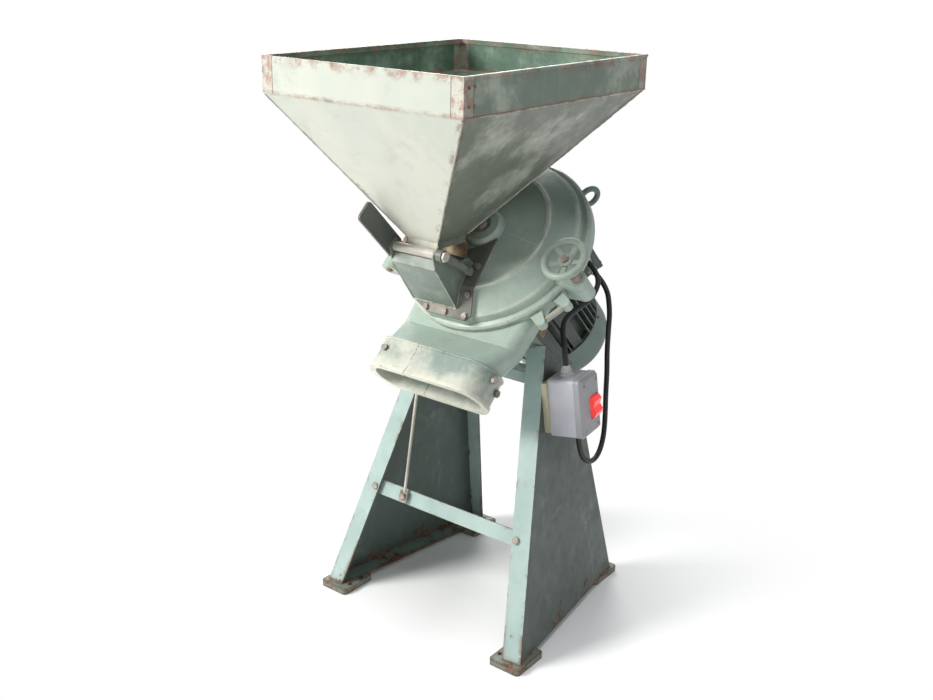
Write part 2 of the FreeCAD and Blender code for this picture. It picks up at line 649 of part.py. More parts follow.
def lug(body, x, y, radius, low, depth, reach):
    """A round lug on the rim, joined to it by a web that is as wide as the lug."""
    sketch = new_sketch(body, "XY_Plane", low)
    circle(sketch, x, y, radius)
    pad(body, sketch, depth)
    distance = math.hypot(x.value, y.value)
    out = (x.value / distance, y.value / distance)
    sketch = new_sketch(body, "XY_Plane", low)
    corners = []
    for start, width in ((reach.value, 1.5), (distance, 0.96), (distance, -0.96), (reach.value, -1.5)):
        side_step = radius * width
        corners.append((start * out[0] - side_step * out[1], start * out[1] + side_step * out[0]))
    polygon(sketch, corners)
    pad(body, sketch, depth)


rim_grip = d.rim_radius - 14
clamp_y = -d.clamp_drop
lug(housing, d.clamp_reach, clamp_y, d.lug_radius, d.parting - d.lug_depth, d.lug_depth, rim_grip)
for x, y in ((224.0, -96.0), (190.0, -150.0)):
    lug(housing, size(x), size(y), size(11.0), step, d.rim_plate, rim_grip)


def knuckle(body, middle, low, high):
    """A hinge knuckle along y with an arm to the rim, between two levels."""
    sketch = new_sketch(body, "XZ_Plane", -(middle + d.knuckle_length / 2))
    circle(sketch, -d.hinge_reach, d.parting, d.knuckle_radius)
    pad(body, sketch, d.knuckle_length)
    sketch = new_sketch(body, "XZ_Plane", -(middle + d.knuckle_length / 2))
    box_outline(sketch, -d.hinge_reach, -170.0, low, high)
    pad(body, sketch, d.knuckle_length)


half_pair = (d.knuckle_length + d.hinge_slack) / 2
pin_line_top = d.hinge_upper + d.knuckle_length * 2.5
pin_line = pin_line_top - d.hinge_lower + d.knuckle_length * 2.5
for middle in (d.hinge_upper + half_pair, d.hinge_lower - half_pair):
    knuckle(housing, middle, d.parting - d.knuckle_radius, d.parting)

sketch = new_sketch(housing, offset=d.housing_rear + d.housing_wall)
circle(sketch, 0, 0, d.chamber_radius)
pocket(housing, sketch, d.parting - d.housing_rear, reverse=True)
inner = d.chute_wall
hollow_back = root_back + inner + 2
hollow_front = root_front - inner - 6
hollow = [chute_section(housing, 80.0, neck_half - inner, hollow_back, hollow_front, 12.0),
          chute_section(housing, neck_level, neck_half - inner, hollow_back, hollow_front, 16.0),
          chute_end_section(inner)]
loft(housing, hollow, cut=True)
pocket(housing, chute_end_section(inner), d.chute_straight + 5, reverse=True)
sketch = new_sketch(housing, offset=d.housing_rear - 1)
circle(sketch, 0, 0, d.hub_bore)
pocket(housing, sketch, d.housing_wall + 3, reverse=True)
sketch = new_sketch(housing, offset=d.parting - d.lug_depth - 1)
circle(sketch, d.clamp_reach, clamp_y, d.clamp_screw + d.clamp_play)
pocket(housing, sketch, d.lug_depth + 2, reverse=True)
sketch = new_sketch(housing, "XZ_Plane", -pin_line_top)
circle(sketch, -d.hinge_reach, d.parting, d.hinge_pin)
pocket(housing, sketch, pin_line, reverse=True)

# An eyebolt stands in a boss on the housing's upper shoulder.
EYE_TURN = 57.4
EYE_LEVEL = 140.0
EYE_SEAT = 197.0
eye_frame = MILL.multiply(Placement(Vector(0, 0, EYE_LEVEL), Rotation(Vector(0, 0, 1), EYE_TURN)))
boss = housing.newObject("PartDesign::AdditiveCylinder", "eye_boss")
boss.Radius = 15
boss.Height = 30
boss_start = Vector((EYE_SEAT - 30) * math.cos(math.radians(EYE_TURN)),
                    (EYE_SEAT - 30) * math.sin(math.radians(EYE_TURN)), EYE_LEVEL)
boss_way = Vector(math.cos(math.radians(EYE_TURN)), math.sin(math.radians(EYE_TURN)), 0)
boss.Placement = Placement(boss_start, Rotation(Vector(0, 0, 1), boss_way))
inside = new_sketch(housing, offset=d.housing_rear + d.housing_wall)
circle(inside, 0, 0, d.chamber_radius)
pocket(housing, inside, d.parting - d.housing_rear, reverse=True)

eye_collar = Part.makeCylinder(14.5, 7, Vector(EYE_SEAT, 0, 0), Vector(1, 0, 0))
eye_ring = Part.makeTorus(21, 6.5, Vector(EYE_SEAT + 30, 0, 0), Vector(0, 1, 0))
plain_solid("eyebolt", eye_collar.fuse(eye_ring).removeSplitter(), eye_frame)

screen = new_body("screen_ring", MILL)
screen_outer = d.chamber_radius - d.screen_gap
floor_level = d.housing_rear + d.housing_wall
revolve(screen, [(screen_outer - d.screen_wall, floor_level), (screen_outer, floor_level),
                 (screen_outer, d.parting - 1), (screen_outer - d.screen_wall, d.parting - 1)])
hole_sketch = new_sketch(screen, "XZ_Plane", screen_outer - 20)
circle(hole_sketch, 0, floor_level + 20, 5.0)
circle(hole_sketch, 0, floor_level + 38, 5.0)
sieve = pocket(screen, hole_sketch, 40, reverse=True)
polar(screen, sieve, 30)

collar = new_body("outlet_collar", MILL)
clear = 0.2
outer = d.chute_half_width + clear + d.collar_wall
collar_start = d.chute_flare + d.collar_set
collar_end = collar_start + d.collar_length
chute_end = d.chute_flare + d.chute_straight
section = chute_section(collar, collar_start, outer, d.chute_back - clear - d.collar_wall,
                        d.chute_front + clear + d.collar_wall, chute_corner + clear + d.collar_wall)
pad(collar, section, d.collar_length)
section = chute_section(collar, collar_end - 9, outer + 3, d.chute_back - clear - d.collar_wall - 3,
                        d.chute_front + clear + d.collar_wall + 3, chute_corner + clear + d.collar_wall + 3)
pad(collar, section, 9)
section = chute_section(collar, collar_start - 1, d.chute_half_width + clear, d.chute_back - clear,
                        d.chute_front + clear, chute_corner + clear)
pocket(collar, section, chute_end - collar_start + 1, reverse=True)
lip = d.collar_lip
section = chute_section(collar, chute_end - 1, d.chute_half_width - lip, d.chute_back + lip,
                        d.chute_front - lip, chute_corner - lip)
pocket(collar, section, collar_end - chute_end + 2, reverse=True)

collar_bolts = []
side_x = (d.chute_offset + outer).value
middle_level = (d.chute_back.value + d.chute_front.value) / 2
for drop, level in ((18.0, middle_level + 16), (34.0, middle_level - 14)):
    at = Vector(side_x, -collar_start.value - drop, level)
    collar_bolts.append(hex_bolt(5.0, 2.0, at, Vector(1, 0, 0)))
top_level = (d.chute_front + clear + d.collar_wall).value
top_place = Vector(d.chute_offset.value - 112, -collar_start.value - 30, top_level)
collar_bolts.append(hex_bolt(4.5, 2.0, top_place, Vector(0, 0, 1)))
plain_solid("collar_bolts", Part.makeCompound(collar_bolts), MILL)

pin_start = d.hinge_lower.value - d.knuckle_length.value - d.hinge_slack.value - 4
pin_end = d.hinge_upper.value + d.knuckle_length.value + d.hinge_slack.value + 4
pin_foot = Vector(-d.hinge_reach.value, pin_start, d.parting.value)
pin_neck = Vector(-d.hinge_reach.value, pin_end - 2.7, d.parting.value)
pin = Part.makeCylinder(d.hinge_pin.value, pin_end - pin_start, pin_foot, Vector(0, 1, 0))
head = Part.makeCylinder(11.5, 7, pin_neck, Vector(0, 1, 0))
plain_solid("hinge_pin", pin.fuse(head).removeSplitter(), MILL)

rod_a = Vector(224.0, -96.0, 180.0)
rod_b = Vector(190.0, -150.0, 180.0)
rod_line = (rod_b - rod_a)
rod_line.normalize()
side_rod = Part.makeCylinder(6.5, (rod_b - rod_a).Length - 22, rod_a + rod_line * 11, rod_line)
plain_solid("side_rod", side_rod, MILL)

block = new_body("packing_block", MILL)
sketch = new_sketch(block, "YZ_Plane", -d.bed_half_width + 4)
block_rear = d.bed_front - 37
polygon(sketch, [(bed_top, block_rear), (-d.flange_radius - 2, block_rear + 6),
                 (-d.flange_radius - 2, d.bed_front), (bed_top, d.bed_front)])
pad(block, sketch, d.bed_half_width * 2 - 8)

flange_bolts = []
for x, y in FLANGE_PLACES:
    at = Vector(x, y, (d.shield_front - d.flange_plate).value)
    flange_bolts.append(hex_bolt(FLANGE_BOLT, d.flange_plate.value - 1, at, Vector(0, 0, -1)))
for x, y in HOUSING_PLACES:
    at = Vector(x, y, d.housing_rear.value - 5)
    flange_bolts.append(hex_bolt(HOUSING_BOLT, 4.0, at, Vector(0, 0, -1)))
plain_solid("flange_bolts", Part.makeCompound(flange_bolts), MILL)
plain_solid("motor_foot_bolts", Part.makeCompound(foot_bolts), MILL)

KINK_Y = -146.0
SEAT_SPAN = 190.0
BEND_REACH = 80.0


def bent_level(y, kink, level):
    """Height of the seat or of the flange's top at one y, where it falls beyond its bend."""
    return level if y >= kink else level - (kink - y) * math.tan(bend)


def slope_cut(sketch, kink, level):
    """The wedge above the slope that starts at the bend."""
    polygon(sketch, [(kink, level), (kink - BEND_REACH, bent_level(kink - BEND_REACH, kink, level)),
                     (kink - BEND_REACH, level + 5), (kink, level + 5)])


# Cover: a domed casting with a raised ring, a centre boss, a seat for the feed box and its lugs.
cover = new_body("mill_cover", MILL)
face = d.parting + d.joint_gap
plate_top = face + d.cover_plate
revolve(cover, [(d.centre_bore, d.cover_flat - d.cover_wall), (d.centre_bore, d.cover_flat + d.boss_height),
                (d.boss_radius - 6, d.cover_flat + d.boss_height),
                (d.boss_radius, d.cover_flat + d.boss_height - 8),
                (d.boss_radius + 3, d.cover_flat), (d.ring_radius - d.ring_width / 2 - 2, d.cover_flat),
                (d.ring_radius - d.ring_width / 2 + 1, d.cover_flat + d.ring_height),
                (d.ring_radius + d.ring_width / 2 - 1, d.cover_flat + d.ring_height),
                (d.ring_radius + d.ring_width / 2 + 1, d.cover_flat - 2),
                (d.shoulder_radius, d.shoulder_height), (d.shoulder_radius + 4, plate_top + 2),
                (d.rim_radius - 4, plate_top), (d.rim_radius, plate_top - 4), (d.rim_radius, face),
                (d.chamber_radius, face), (d.shoulder_radius - 22, d.shoulder_height - 6),
                (d.ring_radius, d.cover_flat - 14), (d.ring_radius - 8, d.cover_flat - d.cover_wall)])
seat_left = d.feed_left - 16
feed_outline = [(seat_left, -90), (seat_left, -150), (-100, -188), (-60, -207), (45, -207), (58, -196),
                (52, -130), (46, -21), (25, -42), (-40, -78)]
sketch = new_sketch(cover, offset=d.shoulder_height - 18)
polygon(sketch, feed_outline)
pad(cover, sketch, d.feed_pad - d.shoulder_height + 18)
bend = math.radians(30.5)
seat_kink = KINK_Y + d.feed_plate.value * math.tan(bend / 2)
sketch = new_sketch(cover, "YZ_Plane", seat_left - 6)
slope_cut(sketch, seat_kink, d.feed_pad)
pocket(cover, sketch, SEAT_SPAN, reverse=True)
lug(cover, d.clamp_reach, clamp_y, d.lug_radius, face, d.cover_lug, rim_grip)
for middle in (d.hinge_upper - half_pair, d.hinge_lower + half_pair):
    knuckle(cover, middle, face, face + d.knuckle_radius - 0.5)
revolve(cover, [(0, face - 1), (d.chamber_radius, face - 1), (d.chamber_radius, face),
                (d.shoulder_radius - 22, d.shoulder_height - 6), (d.ring_radius, d.cover_flat - 14),
                (d.ring_radius - 8, d.cover_flat - d.cover_wall), (0, d.cover_flat - d.cover_wall)],
        cut=True)
sketch = new_sketch(cover, offset=face - 1)
circle(sketch, d.clamp_reach, clamp_y, d.clamp_screw + 0.3)
pocket(cover, sketch, d.cover_lug + 3, reverse=True)
sketch = new_sketch(cover, "XZ_Plane", -pin_line_top)
circle(sketch, -d.hinge_reach, d.parting, d.hinge_pin + d.hinge_fit)
pocket(cover, sketch, pin_line, reverse=True)
sketch = new_sketch(cover, offset=face - 2)
inlet_low = -158.0
inlet_high = -100.0
inlet_left = d.feed_left + d.feed_wall + 6
inlet_right = d.feed_right - d.feed_wall - 6
box_outline(sketch, inlet_left, inlet_right, inlet_low, inlet_high)
pocket(cover, sketch, 120, reverse=True)

liner = new_body("liner_plate", MILL)
liner_back = d.cover_flat - d.cover_wall
revolve(liner, [(d.centre_bore + 30, liner_back - 8), (96.0, liner_back - 8), (96.0, liner_back),
                (d.centre_bore + 30, liner_back)])

screw = new_body("centre_screw", MILL)
screw_top = d.cover_flat + d.boss_height
screw_radius = d.centre_bore - 0.05
revolve(screw, [(0, liner_back - 4), (screw_radius, liner_back - 4), (screw_radius, screw_top),
                (21.0, screw_top), (21.0, screw_top + 3), (0, screw_top + 3)])
sketch = new_sketch(screw, offset=screw_top + 3)
polygon(sketch, [(16.0 * math.cos(math.radians(60 * k)), 16.0 * math.sin(math.radians(60 * k)))
                 for k in range(6)])
pad(screw, sketch, 11.0)

# Feed box: a wedge of sheet steel on the cover with ears for the regulator shaft.
FEED_BOLT = 4.0
flange_top = d.feed_pad + d.feed_plate
flange_drop = BEND_REACH * math.tan(bend)
feed_bolt_places = [(-105.0, -120.0), (-60.0, -199.0), (-8.0, -199.0), (44.0, -199.0), (44.0, -160.0),
                    (38.0, -95.0)]
flange = new_body("feed_flange", MILL)
sketch = new_sketch(flange, offset=d.feed_pad - flange_drop)
polygon(sketch, feed_outline)
pad(flange, sketch, d.feed_plate + flange_drop)
sketch = new_sketch(flange, "YZ_Plane", seat_left - 6)
slope_cut(sketch, KINK_Y, flange_top)
pocket(flange, sketch, SEAT_SPAN, reverse=True)
sketch = new_sketch(flange, "YZ_Plane", seat_left - 6)
polygon(sketch, [(0, d.feed_pad - flange_drop - 5), (0, d.feed_pad), (seat_kink, d.feed_pad),
                 (seat_kink - BEND_REACH, d.feed_pad - flange_drop),
                 (seat_kink - BEND_REACH, d.feed_pad - flange_drop - 5)])
pocket(flange, sketch, SEAT_SPAN, reverse=True)
sketch = new_sketch(flange, offset=d.feed_pad - 20)
box_outline(sketch, inlet_left, inlet_right, inlet_low, inlet_high)
pocket(flange, sketch, d.feed_plate + 25, reverse=True)


def bolt_seat(x, y):
    """Place and direction of a bolt's seat on the flange, square to its flat or to its slope."""
    sloped = y < KINK_Y
    seat_way = Vector(0, -math.sin(bend), math.cos(bend)) if sloped else Vector(0, 0, 1)
    return Vector(x, y, bent_level(y, KINK_Y, flange_top.value)), seat_way


for number, (x, y) in enumerate(feed_bolt_places):
    at, seat_way = bolt_seat(x, y)
    hole = flange.newObject("PartDesign::SubtractiveCylinder", f"flange_hole_{number}")
    hole.Radius = FEED_BOLT
    hole.Height = d.feed_plate.value * 2.5
    hole_foot = at - seat_way * d.feed_plate.value * 1.5
    hole.Placement = Placement(hole_foot, Rotation(Vector(0, 0, 1), seat_way))

feed = new_body("feed_box", MILL)
foot_out = 190.0
wall_top = 358.0
ear_top = d.lever_level + 11
wall_foot = bent_level(-foot_out, KINK_Y, flange_top)
outer_feed = [(-88, flange_top), (KINK_Y, flange_top), (-foot_out, wall_foot), (-172, wall_top),
              (-156, ear_top), (-130, ear_top), (-112, 300), (-90, 283)]
inner_feed = [(-91, flange_top - 1), (KINK_Y, flange_top - 1), (3 - foot_out, wall_foot - 1),
              (-169, wall_top), (-232, wall_top), (-232, ear_top + 29), (-60, ear_top + 29), (-60, 300),
              (-92.5, 286)]
sketch = new_sketch(feed, "YZ_Plane", d.feed_left)
polygon(sketch, outer_feed)
pad(feed, sketch, d.feed_right - d.feed_left)
sketch = new_sketch(feed, "YZ_Plane", d.feed_left + d.feed_wall)
polygon(sketch, inner_feed)
pocket(feed, sketch, d.feed_right - d.feed_left - d.feed_wall * 2, reverse=True)
sketch = new_sketch(feed, "YZ_Plane", d.feed_left - 1)
circle(sketch, -d.lever_slope, d.lever_level, d.lever_radius + 0.05)
pocket(feed, sketch, d.feed_right - d.feed_left + 2, reverse=True)

feed_bolts = []
for x, y in feed_bolt_places:
    at, seat_way = bolt_seat(x, y)
    feed_bolts.append(hex_bolt(FEED_BOLT, 3.5, at, seat_way))
plain_solid("feed_bolts", Part.makeCompound(feed_bolts), MILL)

bracket = new_body("hopper_bracket", MILL)
wall_angle = math.atan2((d.hopper_knee - d.spout_top).value, (d.hopper_rear_y - d.spout_rear_y).value)
wall_tilt = wall_angle - math.radians(d.tilt.value)


def rear_wall_level(y):
    """Height above the shaft origin, in the mill frame, of the hopper's rear wall at one y."""
    corner_y = (d.spout_rear_y - d.axis_y).value
    corner_z = (d.spout_top - d.axis_height).value
    local_y = (corner_y + corner_z) * slope
    local_z = (corner_z - corner_y) * slope
    return local_z + (y - local_y) * math.tan(wall_tilt)


low_y = -12.0
high_y = 82.0
sketch = new_sketch(bracket, "YZ_Plane", -112.0)
polygon(sketch, [(low_y, d.cover_flat), (high_y, d.cover_flat), (high_y, rear_wall_level(high_y) - 0.4),
                 (low_y, rear_wall_level(low_y) - 0.4)])
pad(bracket, sketch, 64.0)
sketch = new_sketch(bracket, "XY_Plane", d.cover_flat - 1)
box_outline(sketch, -108.0, -52.0, low_y + 4, high_y - 4)
pocket(bracket, sketch, 90.0, reverse=True)

# Hopper: a straight band over a four-sided funnel that runs to an off-centre spout.
hopper = new_body("hopper", STAND)
left = d.hopper_centre_x - d.hopper_half_width
right = d.hopper_centre_x + d.hopper_half_width


def band(level, inset, height, cut=False):
    sketch = new_sketch(hopper, offset=level)
    box_outline(sketch, left + inset, right - inset, d.hopper_front_y + inset, d.hopper_rear_y - inset)
    return pocket(hopper, sketch, height, reverse=True) if cut else pad(hopper, sketch, height)


def funnel_sections(inset, wide):
    top = new_sketch(hopper, offset=d.hopper_knee)
    box_outline(top, left + inset, right - inset, d.hopper_front_y + inset, d.hopper_rear_y - inset)
    low = new_sketch(hopper, offset=d.spout_top)
    box_outline(low, d.spout_left + wide, d.spout_right - wide, d.spout_front_y + wide,
                d.spout_rear_y - wide)
    return [top, low]


band(d.hopper_knee, 0, d.hopper_top - d.hopper_knee)
loft(hopper, funnel_sections(0, 0))
sketch = new_sketch(hopper, offset=d.spout_bottom)
box_outline(sketch, d.spout_left, d.spout_right, d.spout_front_y, d.spout_rear_y)
pad(hopper, sketch, d.spout_top - d.spout_bottom)
band(d.hopper_knee, d.sheet, d.hopper_top - d.hopper_knee - 10, cut=True)
band(d.hopper_top - 10, d.hem, 20, cut=True)
loft(hopper, funnel_sections(d.sheet, d.sheet), cut=True)
sketch = new_sketch(hopper, offset=d.spout_bottom - 1)
box_outline(sketch, d.spout_left + d.sheet, d.spout_right - d.sheet, d.spout_front_y + d.sheet,
            d.spout_rear_y - d.sheet)
pocket(hopper, sketch, d.spout_top - d.spout_bottom + 2, reverse=True)

# Regulator: a shaft across the feed box with a flap inside, a handle plate and a long arm outside.
LEVER = MILL.multiply(Placement(Vector(0, -d.lever_slope.value, d.lever_level.value), Rotation()))
shaft = new_body("regulator_shaft", LEVER)
sketch = new_sketch(shaft, "YZ_Plane", d.feed_left - 8)
circle(sketch, 0, 0, d.lever_radius)
pad(shaft, sketch, d.feed_right - d.feed_left + 24)

flap = new_body("regulator_flap", LEVER)
sketch = new_sketch(flap, "YZ_Plane", d.feed_left + d.feed_wall + 2)
circle(sketch, 0, 0, d.lever_radius + 2)
pad(flap, sketch, d.feed_right - d.feed_left - d.feed_wall * 2 - 4)
sketch = new_sketch(flap, "YZ_Plane", d.feed_left + d.feed_wall + 2)
polygon(sketch, [(-1.5, -62), (1.5, -62), (1.5, 0), (-1.5, 0)])
pad(flap, sketch, d.feed_right - d.feed_left - d.feed_wall * 2 - 4)
sketch = new_sketch(flap, "YZ_Plane", d.feed_left)
circle(sketch, 0, 0, d.lever_radius)
pocket(flap, sketch, d.feed_right - d.feed_left, reverse=True)

handle = new_body("regulator_handle", LEVER)
sketch = new_sketch(handle, "YZ_Plane", d.feed_left - 5.5)
rounded_box(sketch, -22.0, 24.0, -16.0, 128.0, 9.0)
circle(sketch, 0, 0, d.lever_radius)
pad(handle, sketch, 5.0)

arm = new_body("regulator_arm", LEVER)
arm_reach = 105.0
arm_turn = math.radians(-29.0 - 45.0)
arm_way = (math.cos(arm_turn), math.sin(arm_turn))
sketch = new_sketch(arm, "YZ_Plane", d.feed_right + 2)
circle(sketch, 0, 0, d.lever_radius + 5)
circle(sketch, 0, 0, d.lever_radius)
pad(arm, sketch, 14.0)
sketch = new_sketch(arm, "YZ_Plane", d.feed_right + 5)
corners = []
for reach, width in ((11.5, -7.5), (arm_reach, -5.5), (arm_reach, 5.5), (11.5, 7.5)):
    corners.append((reach * arm_way[0] + width * arm_way[1], reach * arm_way[1] - width * arm_way[0]))
polygon(sketch, corners)
pad(arm, sketch, 8.0)
sketch = new_sketch(arm, "YZ_Plane", d.feed_right + 2)
circle(sketch, arm_reach * arm_way[0], arm_reach * arm_way[1], 9.0)
pad(arm, sketch, 14.0)

# Clamp: a captive screw with its handwheel on the cover's lug.
wheel_frame = MILL.multiply(Placement(Vector(d.clamp_reach.value, clamp_y.value, 0), Rotation()))
clamp = new_body("clamp_screw", wheel_frame)
lug_top = face + d.cover_lug
hub_middle = d.wheel_level - d.wheel_dish
hub_low = hub_middle - 12
hub_top = hub_middle + 8
revolve(clamp, [(0, d.parting - d.lug_depth + 4), (d.clamp_screw, d.parting - d.lug_depth + 4),
                (d.clamp_screw, lug_top + 0.3), (d.clamp_screw + 5, lug_top + 0.3),
                (d.clamp_screw + 5, hub_low), (d.clamp_screw, hub_low),
                (d.clamp_screw, d.wheel_level + 4), (0, d.wheel_level + 4)])
wheel = new_body("handwheel", wheel_frame)
revolve(wheel, [(d.clamp_screw, hub_low), (d.wheel_hub, hub_low), (d.wheel_hub, hub_top),
                (d.clamp_screw, hub_top)])
sketch = new_sketch(wheel, "XZ_Plane")
circle(sketch, d.wheel_radius, d.wheel_level, d.wheel_rim)
rim = wheel.newObject("PartDesign::Revolution", "wheel_rim")
rim.Profile = sketch
rim.ReferenceAxis = (sketch, ["V_Axis"])
rim.Angle = 360
sketch = new_sketch(wheel, "XZ_Plane", -5.0)
polygon(sketch, [(d.wheel_hub - 2, hub_middle - 4), (d.wheel_radius - 1, d.wheel_level - 3),
                 (d.wheel_radius - 1, d.wheel_level + 3), (d.wheel_hub - 2, hub_middle + 4)])
spoke = pad(wheel, sketch, 10.0)
polar(wheel, spoke, 5)

# Rotor: the motor shaft with its core and fan, and the beater cross on its front end.
rotor_shaft = new_body("motor_shaft", MILL)
fan_seat = d.shaft_radius - 3
hub_seat = d.shaft_radius - 1
revolve(rotor_shaft, [(0, d.cowl_rear + 20), (fan_seat, d.cowl_rear + 20), (fan_seat, rear_back - 2),
                      (d.shaft_radius, rear_back - 2), (d.shaft_radius, d.shield_front + 2),
                      (hub_seat, d.shield_front + 2), (hub_seat, d.parting - 8), (0, d.parting - 8)])
core = new_body("rotor_core", MILL)
core_rear = -96.0
core_front = 24.0
revolve(core, [(d.shaft_radius, core_rear), (d.rotor_radius, core_rear), (d.rotor_radius, core_front),
               (d.shaft_radius, core_front)])
fan = new_body("cooling_fan", MILL)
fan_front = rear_back - 6
revolve(fan, [(fan_seat, fan_front - d.fan_depth), (d.shaft_radius + 7, fan_front - d.fan_depth),
              (d.shaft_radius + 7, fan_front - 4), (d.fan_radius, fan_front - 4), (d.fan_radius, fan_front),
              (fan_seat, fan_front)])
sketch = new_sketch(fan, offset=fan_front - 2)
box_outline(sketch, d.shaft_radius + 4, d.fan_radius, -1.5, 1.5)
blade = pad(fan, sketch, d.fan_depth - 6, reverse=True)
polar(fan, blade, 8)
hub = new_body("beater_hub", MILL)
hub_radius = d.hub_bore - 2
cross_low = floor_level + 10
revolve(hub, [(hub_seat, d.shield_front + 10), (hub_radius, d.shield_front + 10),
              (hub_radius, cross_low - 6), (hub_radius + 14, cross_low - 6), (hub_radius + 14, cross_low),
              (hub_seat, cross_low)])
cross = new_body("beater_cross", MILL)
revolve(cross, [(hub_seat, cross_low), (46.0, cross_low), (46.0, cross_low + 12), (hub_seat, cross_low + 12)])
beat = new_sketch(cross, offset=cross_low)
tip = screen_outer - d.screen_wall - 5
polygon(beat, [(40.0, -13), (tip, -13), (tip, 13), (40.0, 13)])
beater = pad(cross, beat, 12.0)
polar(cross, beater, 4)
beat = new_sketch(cross, offset=cross_low + 11)
box_outline(beat, tip - 18, tip, -13, 13)
hammer = pad(cross, beat, 22.0)
polar(cross, hammer, 4)
nut = new_body("rotor_nut", MILL)
sketch = new_sketch(nut, offset=cross_low + 12)
polygon(sketch, [(23.0 * math.cos(math.radians(60 * k)), 23.0 * math.sin(math.radians(60 * k)))
                 for k in range(6)])
circle(sketch, 0, 0, hub_seat)
pad(nut, sketch, 14.0)

# Switch box on the right panel: its frame has x to the rear, y up and z out of the panel.
outward = Vector(lean_cos, lean_sin * slope, lean_sin * slope)
upward = Vector(0, 0, 1) - outward * outward.z
upward.normalize()
rearward = upward.cross(outward)
SWITCH_Z = d.top_height.value - 128.0
SWITCH_Y = 0.0
fall_here = (d.top_front_y.value + d.top_height.value - SWITCH_Y - SWITCH_Z) * slope
switch_x = d.top_half_width.value + fall_here * lean_sin / lean_cos
switch_turn = Rotation(rearward, upward, outward, "XYZ")
SWITCH = Placement(Vector(switch_x, SWITCH_Y - middle_y, SWITCH_Z), switch_turn)
half_w = d.switch_width / 2
half_h = d.switch_height / 2

plate = new_body("switch_spacer", SWITCH)
sketch = new_sketch(plate)
box_outline(sketch, -half_w - 6, half_w - 8, -half_h + 10, half_h - 8)
pad(plate, sketch, d.switch_spacer)
case = new_body("switch_box", SWITCH)
sketch = new_sketch(case, offset=d.switch_spacer)
rounded_box(sketch, -half_w, half_w, -half_h, half_h, 7.0)
pad(case, sketch, d.switch_depth)
sketch = new_sketch(case, offset=d.switch_spacer + d.switch_wall)
rounded_box(sketch, -half_w + d.switch_wall, half_w - d.switch_wall, -half_h + d.switch_wall,
            half_h - d.switch_wall, 4.0)
pocket(case, sketch, d.switch_depth, reverse=True)
cap = new_body("switch_lid", SWITCH)
cap_low = d.switch_spacer + d.switch_depth
sketch = new_sketch(cap, offset=cap_low)
rounded_box(sketch, -half_w - 1.5, half_w + 1.5, -half_h - 1.5, half_h + 1.5, 9.0)
pad(cap, sketch, d.switch_lid)
cap_top = (cap_low + d.switch_lid).value


def on_cap_top(edge):
    return abs(edge.BoundBox.ZMin - cap_top) < 0.01 and abs(edge.BoundBox.ZMax - cap_top) < 0.01


dress(cap, "Chamfer", size(7.0), on_cap_top)
rocker_y = -6.0
rocker_x = 14.0
sketch = new_sketch(cap, offset=cap_low + d.switch_lid + 1)
box_outline(sketch, rocker_x - 20.4, rocker_x + 20.4, rocker_y - 25.4, rocker_y + 25.4)
pocket(cap, sketch, 16.0)

pivot = Vector(rocker_x, rocker_y, (cap_low + d.switch_lid).value - 2.0)
ROCKER = SWITCH.multiply(Placement(pivot, Rotation()))
rocker = new_body("switch_rocker", ROCKER)
sketch = new_sketch(rocker, "YZ_Plane", -18.0)
polygon(sketch, [(-20.5, -6.0), (20.5, -6.0), (22.0, 6.0), (14.0, 12.0), (0.0, 8.0), (-12.0, 14.0),
                 (-22.0, 9.0)])
pad(rocker, sketch, 36.0)
sketch = new_sketch(rocker, "YZ_Plane", -20.1)
circle(sketch, 0, 0, 2.5)
pad(rocker, sketch, 40.2)

gland_solids = []
gland_depth = (d.switch_spacer + d.switch_depth / 2).value
for side_sign, x in ((1, -8.0), (-1, 26.0)):
    base = Vector(x, side_sign * half_h.value, gland_depth)
    way = Vector(0, side_sign, 0)
    collar_part = Part.makeCylinder(d.gland_radius.value + 4, 7, base, way)
    nut_part = Part.makeCylinder(d.gland_radius.value, 9, base + way * 7, way)
    dome = Part.makeCone(d.gland_radius.value - 1.5, d.cable_radius.value + 2.5, 8, base + way * 16, way)
    gland_solids.append(collar_part.fuse(nut_part).fuse(dome).removeSplitter())
plain_solid("switch_glands", Part.makeCompound(gland_solids), SWITCH)

side_glands = []
for z in (-20.0, 22.0):
    base = Vector((d.box_seat + d.box_height / 2).value, -d.box_side.value / 2, z)
    way = Vector(0, -1, 0)
    nut_part = Part.makeCylinder(11.0, 12, base, way)
    dome = Part.makeCone(10.0, d.cable_radius.value + 2, 9, base + way * 12, way)
    side_glands.append(nut_part.fuse(dome).removeSplitter())
plain_solid("terminal_glands", Part.makeCompound(side_glands), terminal_frame)


